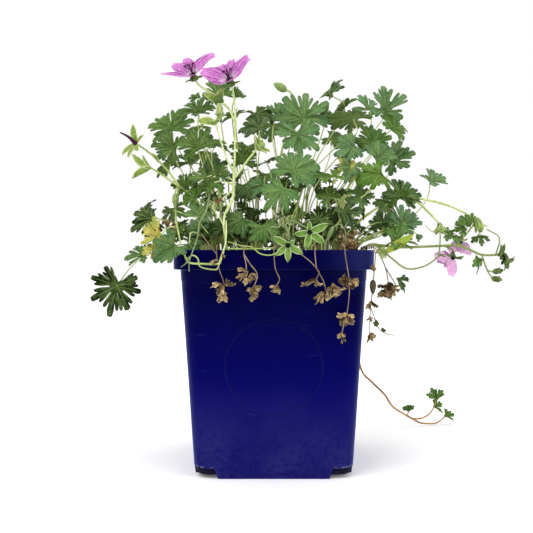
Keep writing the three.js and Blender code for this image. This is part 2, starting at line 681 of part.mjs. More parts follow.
// Long stem that lies out to the right, with a flower, buds and a dark seed cluster at its end.
function horizontalStem() {
  const end = [184, -10, 170];
  return join([
    rootedStem(horizontalRoot, [[66, -43, 172], [75, -42, 178], [84, -40, 177.5], [101, -36, 176],
      [129, -30, 177], [145, -28, 177.5], [156, -22, 175], [169, -16, 170], end], stemRadius, 12, 3),
    tube([[136, -29, 177], [143, -26, 174], flowerLow.at], 0.9, 2, 3),
    calyxUnder(flowerLow, 7),
    calyx(end, [5, -1, 1], 12, 58, 0.6),
    calyx([189, -12, 169], [6, -2, -2], 9, 62, 0.2),
    tube([end, [189, -12, 169]], 1, 1, 3),
    tube([[169, -16, 170], [174, -14, 158], [180, -12, 156]], 0.7, 3, 3),
    bud([179, -12, 156], [6, 0, 1], 9, 2.8),
    tube([[173, -14, 160], [178, -16, 151]], 0.7, 1, 3),
    bud([177, -16, 151], [6, 0, -1], 9, 2.8),
    freeLeaf([167, -16, 168], 14, [0, -8, 2], [0, 0, -8]),
    tube([[182, -10, 170], [186, -6, 184], [176, -4, 191]], 0.7, 4, 3),
    tube([[86, -40, 176], [94, -43, 180]], 0.9, 1, 3),
    freeLeaf([94, -43, 180], 17, [1, -6, 6], [8, -1, 3], -0.1),
  ]);
}

// A thin stalk that dips below the rim on the right and rises again.
function loopingStalk() {
  return join([
    rootedStem(loopRoot, [[68, -52, 174], [76, -50, 178], [84, -48, 173], [92, -46, 167],
      [100, -43, 161], [107, -40, 159], [118, -37, 161], [125, -36, 165], [130, -36, 169]], 0.8, 12, 3),
    freeLeaf([130, -36, 169], 8, [0, -8, 3], [4, 0, 6]),
  ]);
}

// Withered leaves

// A shrivelled leaf: narrow, with its lobes curled back on both sides.
function witheredLeaf(at, size, tip, face = [0, -1, 0]) {
  const width = 0.62;
  const lobes = [[-66, 0.85], [-22, 1], [22, 0.9], [66, 1.05]];
  const outline = [[0, -0.15 * size]];
  for (const [middle, length] of lobes) {
    for (const [offset, reach] of [[-20, 0.5], [0, 1]]) {
      const angle = THREE.MathUtils.degToRad(middle + offset);
      const radius = size * length * reach;
      outline.push([-width * radius * Math.sin(angle), radius * Math.cos(angle)]);
    }
  }
  const curl = random(0.6, 0.9);
  const crumple = (x) => 0.12 * size * Math.sin((5 * x) / size);
  const lift = (x, y) => (-curl * x * x) / size - (0.3 * y * y) / size + crumple(x);
  return place(blade(outline, [0, 0.15 * size], lift, 1.1), at, face, tip);
}

// A dry stalk out of the soil, over the rim at x and down its front, where it parts to its leaves.
function frontDrape(x, ways, leaves) {
  const edge = [x, -80.5, 171];
  const pieces = [rootedStem([x, drapeRow], [[x, -70, 174], [x, -76, 177.5], edge], 0.9, 6, 3)];
  for (const way of ways) pieces.push(tube([edge, ...way], 0.75, way.length + 1, 3));
  for (const [at, size, tip, face] of leaves) pieces.push(witheredLeaf(at, size, tip, face));
  return join(pieces);
}

const drapes = [
  { name: 'withered_leaf_front_left', x: -42, ways: [[[-37, -83, 150]]], leaves: [
    [[-39, -83.5, 152], 13, [-3, 0, -8], [1, -8, 0]], [[-36, -83.5, 150], 12, [4, 0, -8], [-2, -8, 1]],
  ] },
  { name: 'withered_leaves_front_middle', x: -20, leaves: [
    [[-21, -82.5, 161], 13, [-2, 0, -8], [1, -8, 0]], [[-12, -83, 153], 14, [2, 0, -8], [-2, -8, 1]],
  ], ways: [[[-21, -82, 160]], [[-12, -82.5, 152]]] },
  { name: 'withered_leaf_front_centre', x: 2, ways: [[[2, -82, 148]]], leaves: [
    [[2, -82.5, 149], 11, [-1, 0, -8], [1, -8, 0]],
  ] },
  { name: 'withered_leaves_front_right', x: 30, leaves: [
    [[26, -82.5, 154], 11, [0, 0, -8], [1, -8, 0]], [[34, -82.5, 143], 11, [-1, 0, -8], [2, -8, 0]],
    [[43, -83, 150], 15, [0, 0, -8], [-2, -8, 1]],
  ], ways: [[[26, -82, 153]], [[35, -82, 155], [34, -82, 142]], [[43, -82.5, 149]]] },
  { name: 'withered_leaves_front_corner', x: 55, leaves: [
    [[55.5, -83, 153], 11, [0, 0, -8], [1, -8, 1]], [[53, -84, 128], 14, [0, 0, -8], [-1, -8, 1]],
    [[50, -84, 115], 10, [-1, 0, -8], [2, -8, 0]],
  ], ways: [[[55, -82, 152], [53, -83.5, 127], [50, -84, 114]]] },
];

function cornerDrape() {
  return join([
    rootedStem(cornerRoot, [[66, -33, 172], [75, -34, 178], [82, -34, 173], [88, -36, 160],
      [90, -38, 148]], 0.8, 9, 3),
    witheredLeaf([90, -38, 150], 15, [0, 0, -8], [1, -8, 1]),
    tube([[88, -36, 160], [95, -42, 147]], 0.7, 2, 3),
    freeLeaf([95, -42, 148], 9, [0, -8, 3], [6, 0, 2]),
  ]);
}

function edgeDrape() {
  return join([
    rootedStem(edgeRoot, [[67, -69, 174], [71, -73, 178], [75.5, -77, 172], [76, -76, 160],
      [73, -77, 140], [71, -78, 124], [71, -77, 112]], 0.75, 10, 3),
    bud([76, -76, 155], [0, 0, -1], 12, 3),
    bud([72, -78, 130], [0, 0, -1], 8, 2.6),
    witheredLeaf([71, -78, 115], 10, [-1, 0, -8]),
  ]);
}

function yellowLeaf() {
  const knot = [-90, -36, 188];
  return join([
    post(yellowRoot[0], yellowRoot[1], soilTop - holeDepth + clearance, stubTop, stubRadius),
    stalk(yellowRoot, knot, [[-66, -40, 186], [-80, -39, 192]]),
    leafBlade(knot, 16, [0, -9, 2], [-6, 0, -5], -0.1),
    tube([knot, [-94, -40, 178]], 0.8, 1, 3),
    leafBlade([-94, -40, 178], 12, [0, -8, 3], [1, 0, -8], -0.1),
    witheredLeaf([-84, -38, 190], 15, [6, 0, 6]),
  ]);
}

// A lump of dead stem bases that stands on the soil at the right of the front rim.
function dryClump() {
  const pieces = [post(clumpRoot[0], clumpRoot[1], soilTop - holeDepth + clearance, 182, stubRadius)];
  const lumps = [[57, -49, 180, 6], [61, -51, 177, 5], [53, -50, 178, 5], [58, -47, 185, 4]];
  for (const [x, y, z, radius] of lumps) pieces.push(ball([x, y, z], radius));
  return join(pieces);
}

// Runner that hangs over the far right corner and lies on the surface with two leafy tips.
function runner() {
  const fork = [138, 121, 8];
  return join([
    rootedStem(runnerRoot, [[56, 56, 178], [64, 68, 184], [72, 80, 172], [76, 86, 130], [79, 88, 90],
      [84, 91, 61], [95, 98, 48], [108, 105, 35], [118, 112, 21], fork], stemRadius, 15, 3),
    tube([fork, [149, 126, 8], [158, 128, 14], [163, 128, 26]], 1, 4, 3),
    tube([fork, [146, 125, 3], [156, 128, 1.5], [164, 129, 2], [172, 130, 7]], 1, 6, 3),
    freeLeaf([163, 128, 26], 12, [0, -8, 4], [-2, 0, 8]),
    freeLeaf([161, 128, 19], 10, [1, -6, 5], [6, 0, 3]),
    freeLeaf([134, 120, 16], 8, [-1, -6, 4], [-1, 0, 8]),
    tube([[133, 119, 10], [134, 120, 16]], 0.7, 1, 3),
    freeLeaf([172, 130, 7], 10, [1, -5, 6], [7, 0, 3]),
  ]);
}

// Soil, with a plain hole for each stem

function buildSoil(roots) {
  const rimBottom = potHeight - rimDepth;
  let soil = taperedBlock(floorTop + clearance, rimBottom - 5, wall + clearance);
  soil = soil.add(straightBlock(wallTopWidth - 6, cornerRadius - 3, rimBottom - 6, soilTop));
  for (const [x, y] of roots) {
    soil = soil.subtract(post(x, y, soilTop - holeDepth, soilTop + 1, stubRadius + 0.4));
  }
  return soil;
}

// Assembly

const roots = [];

function addStem(name, root, shape, colour, roughness) {
  roots.push(root);
  addPart(name, shape, colour, roughness);
}

addPart('pot', buildPot(), colours.pot, 0.45);
for (const { name, root, colour, leaves } of leafyStems) {
  addStem(name, root, leafyStem(root, leaves), colours[colour]);
}
farStems.forEach((row, index) => {
  addStem(`leafy_stem_far_${index + 1}`, row.root, farStem(row), colours.leaf);
});
addStem('flowering_stem_main', mainRoot, mainFloweringStem(), colours.stem);
addStem('flowering_stem_left', leftRoot, leftSpray(), colours.stem);
addStem('flowering_stem_top_bud', topRoot, topBudStem(), colours.stem);
addStem('star_calyx_right', [18, -60], starCalyx([18, -60], [[20, -68, 190], [20, -72, 206],
  [24, -77, 203], [26, -80, 190]], [1, -8, 2], 12, 0.4), colours.stem);
addStem('star_calyx_middle', [9, -64], starCalyx([9, -64], [[6, -70, 182], [4, -74, 193],
  [8, -80, 190], [10, -84, 180]], [0, -8, 1], 12, 0.9), colours.stem);
addStem('flowering_stem_right', sprayRoot, rightSpray(), colours.stem);
addStem('flowering_stem_horizontal', horizontalRoot, horizontalStem(), colours.stem);
addStem('looping_stalk', loopRoot, loopingStalk(), colours.stem);
for (const flower of flowers) {
  addPart(`${flower.name}_petals`, petals(flower), colours.petal, 0.5);
  addPart(`${flower.name}_stamens`, stamens(flower), colours.stamen, 0.5);
}
for (const { name, x, ways, leaves } of drapes) {
  addStem(name, [x, drapeRow], frontDrape(x, ways, leaves), colours.dry, 0.8);
}
addStem('withered_leaf_corner', cornerRoot, cornerDrape(), colours.dry, 0.8);
addStem('withered_stalk_edge', edgeRoot, edgeDrape(), colours.dry, 0.8);
addStem('yellow_leaf', yellowRoot, yellowLeaf(), colours.yellow);
addStem('dry_clump', clumpRoot, dryClump(), colours.dry, 0.9);
addStem('runner', runnerRoot, runner(), colours.runner);
addPart('soil', buildSoil(roots), colours.soil, 0.95);

export default object;
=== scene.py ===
import math
import random

import bpy
import numpy as np
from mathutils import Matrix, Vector, noise


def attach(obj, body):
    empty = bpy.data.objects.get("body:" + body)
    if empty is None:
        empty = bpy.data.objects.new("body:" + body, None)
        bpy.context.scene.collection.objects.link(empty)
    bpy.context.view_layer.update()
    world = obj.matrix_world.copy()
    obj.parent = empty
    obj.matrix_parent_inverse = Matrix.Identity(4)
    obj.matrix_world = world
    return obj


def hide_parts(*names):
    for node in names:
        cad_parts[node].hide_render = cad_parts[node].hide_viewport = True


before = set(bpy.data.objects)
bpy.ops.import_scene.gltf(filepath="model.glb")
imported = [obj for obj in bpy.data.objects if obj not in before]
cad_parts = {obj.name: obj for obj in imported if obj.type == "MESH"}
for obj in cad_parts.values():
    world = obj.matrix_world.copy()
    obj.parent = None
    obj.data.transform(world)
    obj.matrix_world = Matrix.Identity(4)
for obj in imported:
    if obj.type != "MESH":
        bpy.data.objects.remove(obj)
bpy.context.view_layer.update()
print("frame loaded:", len(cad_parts), "nodes")

# Small helpers; places are in millimetres until they reach a mesh

mm = 0.001


def clearSelection():
    bpy.ops.object.select_all(action="DESELECT")


def makeActive(piece):
    clearSelection()
    piece.select_set(True)
    bpy.context.view_layer.objects.active = piece


def addShape(operator, smooth=False, **values):  # one primitive, with nothing else selected
    clearSelection()
    operator(**values)
    if smooth:
        bpy.ops.object.shade_smooth()
    return bpy.context.active_object


def placesOf(piece):
    return np.array([tuple(vertex.co) for vertex in piece.data.vertices])


def unit(vector):
    vector = np.array(vector, float)
    return vector / np.linalg.norm(vector)


def placePoints(points, at, face, tip):  # +Y of the points turns to tip, +Z to face
    up = unit(face)
    ahead = unit(np.array(tip, float) - up * np.dot(tip, up))
    return np.array(at, float) + points @ np.array([np.cross(ahead, up), ahead, up])


def placeOnAxis(points, at, axis):  # +Z of the points turns to the axis
    return placePoints(points, at, axis, (1, 0, 0) if abs(axis[2]) > abs(axis[0]) else (0, 0, 1))


def along(at, axis, distance):
    return tuple(np.array(at, float) + unit(axis) * distance)


def smoothWay(points, perSpan=4):
    points = np.array(points, float)
    padded = np.vstack([2 * points[0] - points[1], points, 2 * points[-1] - points[-2]])
    way = []
    for i in range(len(points) - 1):
        a, b, c, d = padded[i:i + 4]
        for t in np.arange(perSpan) / perSpan:
            bend = (2 * a - 5 * b + 4 * c - d) * t ** 2 + (3 * b - a - 3 * c + d) * t ** 3
            way.append(b + 0.5 * ((c - a) * t + bend))
    way.append(points[-1])
    return way


def copyMesh(master, points, finish=None):
    piece = master.copy()
    piece.data = master.data.copy()
    bpy.context.collection.objects.link(piece)
    piece.data.vertices.foreach_set("co", (np.array(points) * mm).ravel())
    piece.data.update()
    if finish:
        piece.data.materials.clear()
        piece.data.materials.append(finish)
    return piece


def joinParts(parts, name):
    clearSelection()
    for part in parts:
        part.select_set(True)
    bpy.context.view_layer.objects.active = parts[0]
    if len(parts) > 1:
        bpy.ops.object.join()
    whole = bpy.context.active_object
    whole.name = name
    whole.data.name = name
    return whole


def applyModifier(piece, kind, **values):
    makeActive(piece)
    bpy.ops.object.modifier_add(type=kind)
    modifier = piece.modifiers[-1]
    for key, value in values.items():
        setattr(modifier, key, value)
    bpy.ops.object.modifier_apply(modifier=modifier.name)
    return piece


def thicken(piece, thickness, offset=-1.0, underside=0):
    return applyModifier(piece, "SOLIDIFY", thickness=thickness * mm, offset=offset,
                         material_offset=underside)


def paintTone(piece, colour):  # leaf materials read it: tone, greyness or edge, and vein
    layer = piece.data.attributes.new("leafTone", "FLOAT_COLOR", "POINT")
    layer.data.foreach_set("color", colour.ravel())


def camelName(node):
    words = node.split("_")
    return words[0] + "".join(word.capitalize() for word in words[1:])


def standFor(piece, slotName, *nodes):
    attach(piece, "root")
    if nodes:
        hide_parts(*nodes)
    return piece


def drawStalks(name, rows, finish, sides=1):  # each row: points, radius at the start, radius at the end
    curve = bpy.data.curves.new(name, "CURVE")
    curve.dimensions = "3D"
    curve.bevel_depth = mm
    curve.bevel_resolution = sides
    curve.use_fill_caps = True
    for points, startRadius, endRadius in rows:
        way = smoothWay(points)
        spline = curve.splines.new("POLY")
        spline.points.add(len(way) - 1)
        for i, place in enumerate(way):
            spline.points[i].co = (*(place * mm), 1)
            spline.points[i].radius = startRadius + (endRadius - startRadius) * i / (len(way) - 1)
        spline.use_smooth = True
    piece = bpy.data.objects.new(name, curve)
    bpy.context.collection.objects.link(piece)
    makeActive(piece)
    bpy.ops.object.convert(target="MESH")
    piece = bpy.context.active_object
    piece.data.materials.clear()
    piece.data.materials.append(finish)
    return piece


# Camera, light and floor

stage = dict(
    cameraAt=(-0.0055, -0.676, 0.174), cameraPitch=88.83, lens=55.0, sensor=36, aim=(0, 0, 0.15),
    lamps=(  # name, place, size, power
        ("keyLight", (-1.1, -1.2, 1.5), 1.4, 22.0),
        ("fillLight", (1.3, -0.9, 0.9), 1.2, 11.0),
        ("topLight", (0.0, 0.1, 1.8), 1.6, 16.0),
    ),
    skyStrength=0.75, frontDim=0.02, floorSize=8, floorLevel=-0.0002, floorGlow=0.5, floorGlowNear=0.1,
)


def buildStage():
    bpy.ops.object.camera_add(location=stage["cameraAt"],
                              rotation=(math.radians(stage["cameraPitch"]), 0, 0))
    camera = bpy.context.active_object
    camera.data.lens = stage["lens"]
    camera.data.sensor_width = stage["sensor"]
    bpy.context.scene.camera = camera
    for name, at, size, power in stage["lamps"]:
        bpy.ops.object.light_add(type="AREA", location=at)
        lamp = bpy.context.active_object
        lamp.name = name
        lamp.data.size = size
        lamp.data.energy = power
        lamp.rotation_euler = (Vector(stage["aim"]) - Vector(at)).to_track_quat("-Z", "Y").to_euler()
    floor = addShape(bpy.ops.mesh.primitive_plane_add, size=stage["floorSize"],
                     location=(0, 0, stage["floorLevel"]))
    floor.name = "floor"
    floor.data.materials.append(floorFinish())
    bpy.context.scene.view_settings.view_transform = "Standard"


def lightWorld():  # what the part reflects is dimmer on the camera's side, as in a light tent
    world = bpy.data.worlds.new("studio")
    bpy.context.scene.world = world
    world.use_nodes = True
    tree = world.node_tree
    white = tree.nodes["Background"]
    white.inputs["Color"].default_value = (1, 1, 1, 1)
    depth = addNode(tree, "SeparateXYZ", {0: addNode(tree, "TexCoord").outputs["Generated"]}).outputs["Y"]
    fade = addNode(tree, "MapRange", {"Value": depth, "From Min": -0.5, "From Max": 0.3,
                                      "To Min": stage["frontDim"]})
    dim = addNode(tree, "Background", {"Strength": fade.outputs["Result"]})
    even = addNode(tree, "Background", {"Strength": stage["skyStrength"]})
    path = addNode(tree, "LightPath").outputs
    lit = addNode(tree, "MixShader", {0: path["Is Glossy Ray"], 1: even.outputs[0], 2: dim.outputs[0]})
    seen = addNode(tree, "MixShader", {0: path["Is Camera Ray"], 1: lit.outputs[0], 2: white.outputs[0]})
    tree.links.new(seen.outputs[0], tree.nodes["World Output"].inputs["Surface"])


# Materials


def srgb(red, green, blue):
    linear = []
    for value in (red, green, blue):
        value = value / 255
        linear.append(value / 12.92 if value <= 0.04045 else ((value + 0.055) / 1.055) ** 2.4)
    return (*linear, 1)


def feed(tree, socket, value):
    if isinstance(value, bpy.types.NodeSocket):
        tree.links.new(value, socket)
    else:
        socket.default_value = value


def addNode(tree, kind, values=None, **settings):
    node = tree.nodes.new("ShaderNode" + kind)
    for key, value in settings.items():
        setattr(node, key, value)
    for key, value in (values or {}).items():
        feed(tree, node.inputs[key], value)
    return node


def mixColour(tree, share, low, high):
    return addNode(tree, "Mix", {0: share, 6: low, 7: high}, data_type="RGBA").outputs[2]


def ramp(tree, value, low, high, toLow=0.0, toHigh=1.0):
    values = {"Value": value, "From Min": low, "From Max": high, "To Min": toLow, "To Max": toHigh}
    return addNode(tree, "MapRange", values, interpolation_type="SMOOTHSTEP").outputs[0]


def math2(tree, operation, first, second=0.0):
    return addNode(tree, "Math", {0: first, 1: second}, operation=operation).outputs[0]


def multiply(tree, first, second):
    return math2(tree, "MULTIPLY", first, second)


def uvPlace(tree):
    return addNode(tree, "UVMap", uv_map="UVMap").outputs[0]


def objectPlace(tree):
    return addNode(tree, "TexCoord").outputs["Object"]


def newGroup(name, inputs, output):
    group = bpy.data.node_groups.new(name, "ShaderNodeTree")
    for socketName, kind, value in inputs:
        socket = group.interface.new_socket(name=socketName, in_out="INPUT", socket_type=kind)
        socket.default_value = value
    group.interface.new_socket(name=output[0], in_out="OUTPUT", socket_type=output[1])
    return group, group.nodes.new("NodeGroupInput"), group.nodes.new("NodeGroupOutput")


def buildMottle():  # two colours that drift into each other, with darker flecks
    group, given, result = newGroup("mottle", (
        ("Colour A", "NodeSocketColor", (0.5, 0.5, 0.5, 1)),
        ("Colour B", "NodeSocketColor", (0.4, 0.4, 0.4, 1)),
        ("Fleck Colour", "NodeSocketColor", (0.2, 0.2, 0.2, 1)),
        ("Scale", "NodeSocketFloat", 120.0),
        ("Flecks", "NodeSocketFloat", 0.2),
    ), ("Colour", "NodeSocketColor"))
    place = objectPlace(group)
    scale = given.outputs["Scale"]
    broad = addNode(group, "TexNoise", {"Vector": place, "Scale": scale, "Detail": 3.0})
    drift = ramp(group, broad.outputs[0], 0.35, 0.65)
    body = mixColour(group, drift, given.outputs["Colour A"], given.outputs["Colour B"])
    fine = addNode(group, "TexNoise", {"Vector": place, "Scale": multiply(group, scale, 6.0), "Detail": 2.0})
    fleck = multiply(group, ramp(group, fine.outputs[0], 0.55, 0.72), given.outputs["Flecks"])
    group.links.new(mixColour(group, fleck, body, given.outputs["Fleck Colour"]), result.inputs["Colour"])
    return group


def buildGrain():  # fine relief as a normal
    group, given, result = newGroup("grain", (
        ("Scale", "NodeSocketFloat", 900.0), ("Strength", "NodeSocketFloat", 0.3),
        ("Depth", "NodeSocketFloat", 0.0003),
    ), ("Normal", "NodeSocketVector"))
    fine = addNode(group, "TexNoise", {"Vector": objectPlace(group), "Scale": given.outputs["Scale"],
                                       "Detail": 4.0})
    bump = addNode(group, "Bump", {"Strength": given.outputs["Strength"],
                                   "Distance": given.outputs["Depth"], "Height": fine.outputs[0]})
    group.links.new(bump.outputs[0], result.inputs["Normal"])
    return group


mottle = buildMottle()
grain = buildGrain()


def newFinish(name, roughness=0.6, specular=0.15):
    finish = bpy.data.materials.new(name)
    finish.use_nodes = True
    shader = finish.node_tree.nodes["Principled BSDF"]
    shader.inputs["Roughness"].default_value = roughness
    shader.inputs["Specular IOR Level"].default_value = specular
    return finish, finish.node_tree, shader


def addMottle(tree, colourA, colourB, fleck, scale, flecks):
    values = {"Colour A": colourA, "Colour B": colourB, "Fleck Colour": fleck, "Scale": scale,
              "Flecks": flecks}
    return addNode(tree, "Group", values, node_tree=mottle).outputs["Colour"]


def paint(tree, shader, colour, grainScale, relief):  # colour and fine relief of a finish
    tree.links.new(colour, shader.inputs["Base Color"])
    fine = addNode(tree, "Group", {"Scale": grainScale, "Strength": relief}, node_tree=grain)
    tree.links.new(fine.outputs["Normal"], shader.inputs["Normal"])


def mottledFinish(name, colourA, colourB, fleck, scale=120.0, flecks=0.3, roughness=0.6, relief=0.3):
    finish, tree, shader = newFinish(name, roughness)
    colour = addMottle(tree, srgb(*colourA), srgb(*colourB), srgb(*fleck), scale, flecks)
    paint(tree, shader, colour, 1500.0, relief)
    return finish


def floorFinish():
    finish, tree, shader = newFinish("paleFloor", 0.9, 0.0)
    colour = addMottle(tree, srgb(250, 250, 250), srgb(247, 247, 248), srgb(245, 245, 245), 3.0, 0.1)
    tree.links.new(colour, shader.inputs["Base Color"])
    shader.inputs["Emission Color"].default_value = (1, 1, 1, 1)
    place = objectPlace(tree)
    away = addNode(tree, "VectorMath", {0: place}, operation="LENGTH").outputs["Value"]
    glow = ramp(tree, away, 0.12, 0.5, stage["floorGlowNear"], stage["floorGlow"])
    seen = addNode(tree, "LightPath").outputs["Is Camera Ray"]
    tree.links.new(multiply(tree, glow, seen), shader.inputs["Emission Strength"])
    return finish


leafColours = dict(
    dark=srgb(12, 32, 4), green=srgb(74, 114, 28), grey=srgb(86, 120, 84), vein=srgb(146, 174, 92),
    under=srgb(112, 138, 74), underVein=srgb(180, 198, 120), flush=srgb(142, 166, 98), shade=srgb(4, 18, 0),
)


def leafFinish(name, underside):
    finish, tree, shader = newFinish(name, 0.62 if underside else 0.5, 0.05)
    tone = addNode(tree, "Attribute", attribute_name="leafTone")
    parts = addNode(tree, "SeparateColor", {0: tone.outputs["Color"]})
    body = mixColour(tree, parts.outputs[0], leafColours["dark"], leafColours["green"])
    body = mixColour(tree, parts.outputs[1], body, leafColours["grey"])
    if underside:
        body = mixColour(tree, 0.55, body, leafColours["under"])
    lighter = mixColour(tree, 0.24, body, leafColours["flush"])
    darker = mixColour(tree, 0.75, body, leafColours["shade"])
    body = addMottle(tree, body, lighter, darker, 130.0, 0.75)
    veinShare = multiply(tree, math2(tree, "POWER", parts.outputs[2], 2.0), 0.85)
    body = mixColour(tree, veinShare, body, leafColours["underVein" if underside else "vein"])
    paint(tree, shader, body, 1100.0, 0.35)
    return finish


petalColours = dict(
    fleck=srgb(228, 170, 224), pale=srgb(240, 218, 236), vein=srgb(96, 20, 82), throat=srgb(60, 10, 40),
)
petalVeins = ((5.0, 0.24, 0.0, 1.05), (11.0, 0.24, 0.3, 1.0))  # lines across, width, begin and end


def petalFinish(name, base, shadow, veinShare):
    finish, tree, shader = newFinish(name, 0.5, 0.05)
    place = uvPlace(tree)
    split = addNode(tree, "SeparateXYZ", {0: place})
    across, outward = split.outputs[0], split.outputs[1]
    waver = addNode(tree, "TexNoise", {"Vector": place, "Scale": 5.0, "Detail": 1.0})
    shift = multiply(tree, math2(tree, "SUBTRACT", waver.outputs[0], 0.5), 0.12)
    across = math2(tree, "ADD", across, shift)
    lines = []
    for count, width, begin, end in petalVeins:
        saw = math2(tree, "FRACT", multiply(tree, across, count))
        off = math2(tree, "ABSOLUTE", math2(tree, "SUBTRACT", saw, 0.5))
        line = ramp(tree, off, 0.0, width, 1.0, 0.0)
        line = multiply(tree, line, ramp(tree, outward, begin, begin + 0.1))
        lines.append(multiply(tree, line, ramp(tree, outward, end - 0.3, end, 1.0, 0.15)))
    veins = math2(tree, "MAXIMUM", lines[0], lines[1])
    body = addMottle(tree, base, shadow, petalColours["fleck"], 260.0, 0.4)
    body = mixColour(tree, ramp(tree, outward, 0.14, 0.42, 0.62, 0.0), body, petalColours["pale"])
    body = mixColour(tree, multiply(tree, veins, veinShare), body, petalColours["vein"])
    body = mixColour(tree, ramp(tree, outward, 0.1, 0.2, 1.0, 0.0), body, petalColours["throat"])
    shader.inputs["Subsurface Weight"].default_value = 0.4
    shader.inputs["Subsurface Radius"].default_value = (1.0, 0.6, 0.9)
    shader.inputs["Subsurface Scale"].default_value = 0.002
    paint(tree, shader, body, 1300.0, 0.25)
    return finish


def sepalFinish(name, light, middle, stripeColour, edge):
    finish, tree, shader = newFinish(name, 0.55, 0.1)
    split = addNode(tree, "SeparateXYZ", {0: uvPlace(tree)})
    off = math2(tree, "ABSOLUTE", math2(tree, "SUBTRACT", split.outputs[0], 0.5))
    body = addMottle(tree, light, middle, stripeColour, 300.0, 0.4)
    stripe = math2(tree, "SINE", multiply(tree, split.outputs[0], 31.4))
    body = mixColour(tree, ramp(tree, stripe, 0.3, 0.9, 0.0, 0.4), body, stripeColour)
    body = mixColour(tree, ramp(tree, off, 0.33, 0.48), body, edge)
    paint(tree, shader, body, 1800.0, 0.3)
    return finish


dryColours = dict(
    dark=srgb(70, 48, 28), light=srgb(222, 192, 140), shade=srgb(48, 28, 14), fleck=srgb(14, 9, 6),
    edge=srgb(214, 198, 152),
)


def dryFinish():
    finish, tree, shader = newFinish("dryLeaf", 0.85, 0.05)
    tone = addNode(tree, "Attribute", attribute_name="leafTone")
    parts = addNode(tree, "SeparateColor", {0: tone.outputs["Color"]})
    body = mixColour(tree, parts.outputs[0], dryColours["dark"], dryColours["light"])
    darker = mixColour(tree, 0.8, body, dryColours["shade"])
    body = addMottle(tree, body, darker, dryColours["fleck"], 210.0, 1.3)
    body = mixColour(tree, multiply(tree, parts.outputs[1], 0.45), body, dryColours["edge"])
    paint(tree, shader, body, 1500.0, 0.8)
    return finish


budColours = dict(
    light=srgb(150, 172, 104), middle=srgb(128, 154, 84), fleck=srgb(104, 130, 66), stripe=srgb(70, 98, 46),
)


def budFinish():
    finish, tree, shader = newFinish("stripedBud", 0.6, 0.25)
    split = addNode(tree, "SeparateXYZ", {0: uvPlace(tree)})
    stripe = math2(tree, "SINE", multiply(tree, split.outputs[0], 2 * math.pi * 10))
    body = addMottle(tree, budColours["light"], budColours["middle"], budColours["fleck"], 260.0, 0.3)
    body = mixColour(tree, ramp(tree, stripe, 0.2, 0.9, 0.0, 0.6), body, budColours["stripe"])
    paint(tree, shader, body, 1600.0, 0.4)
    return finish


potColours = dict(
    # the top colour on the next line is the same blue with painted shade
    low=srgb(0, 0, 88), high=srgb(0, 0, 58), dust=srgb(52, 50, 112), speck=srgb(8, 8, 88),
    # the grazing-edge colour on the next line is a painted reflection
    # the streak colour on the next line is a painted highlight
    lit=srgb(70, 76, 140), worn=srgb(140, 140, 176), scuff=srgb(60, 66, 150), edge=srgb(84, 94, 156),
)
potWear = dict(edgeHeight=0.0087, flapFrom=0.0446, dust=0.62, specks=0.8, worn=0.38)  # heights in metres


def potFinish():
    finish, tree, shader = newFinish("bluePlastic", 0.42, 0.03)
    place = objectPlace(tree)
    x, y, height = addNode(tree, "SeparateXYZ", {0: place}).outputs

    def noiseAt(vector, scale, detail, roughness):
        values = {"Vector": vector, "Scale": scale, "Detail": detail, "Roughness": roughness}
        return addNode(tree, "TexNoise", values).outputs[0]

    def distance(value):
        return math2(tree, "ABSOLUTE", value)

    # painted shade: the blue darkens towards the top
    body = mixColour(tree, ramp(tree, height, 0.05, 0.15), potColours["low"], potColours["high"])
    haze = noiseAt(place, 26.0, 5.0, 0.6)
    low = ramp(tree, height, 0.0, 0.085, 1.0, 0.0)
    dust = multiply(tree, low, ramp(tree, haze, 0.3, 0.7, 0.35, 1.0))
    body = mixColour(tree, multiply(tree, dust, potWear["dust"]), body, potColours["dust"])
    speck = noiseAt(place, 300.0, 5.0, 0.7)
    specks = multiply(tree, ramp(tree, speck, 0.42, 0.68), low)
    body = mixColour(tree, multiply(tree, specks, potWear["specks"]), body, potColours["speck"])
    # painted highlight: the rim lightens towards its right end
    lit = multiply(tree, ramp(tree, height, 0.14, 0.165), ramp(tree, x, 0.03, 0.078, 0.0, 0.2))
    body = mixColour(tree, lit, body, potColours["lit"])
    inset = math2(tree, "MINIMUM", distance(x), distance(y))
    off = distance(math2(tree, "SUBTRACT", height, potWear["edgeHeight"]))
    worn = multiply(tree, ramp(tree, off, 0.0002, 0.0011, 1.0, 0.0),
                    ramp(tree, inset, potWear["flapFrom"], potWear["flapFrom"] + 0.001))
    worn = multiply(tree, worn, ramp(tree, speck, 0.42, 0.56))
    body = mixColour(tree, multiply(tree, worn, potWear["worn"]), body, potColours["worn"])
    # painted highlight: soft vertical streaks of lighter blue, stretched upright
    flat = addNode(tree, "Mapping", {"Vector": place, "Scale": (1.0, 1.0, 9.0)}).outputs[0]
    paintedHighlightStreaks = ramp(tree, noiseAt(flat, 45.0, 6.0, 0.7), 0.62, 0.74, 0.0, 0.35)
    body = mixColour(tree, paintedHighlightStreaks, body, potColours["scuff"])
    # painted reflection: a lighter blue at grazing angles, for the white surroundings mirrored at the
    # rounded corners
    facing = addNode(tree, "LayerWeight", {"Blend": 0.3}).outputs["Facing"]
    body = mixColour(tree, ramp(tree, facing, 0.2, 0.95, 0.0, 0.8), body, potColours["edge"])
    rough = math2(tree, "ADD", ramp(tree, haze, 0.3, 0.7, 0.36, 0.52), multiply(tree, dust, 0.3))
    tree.links.new(rough, shader.inputs["Roughness"])
    paint(tree, shader, body, 700.0, 0.06)
    return finish


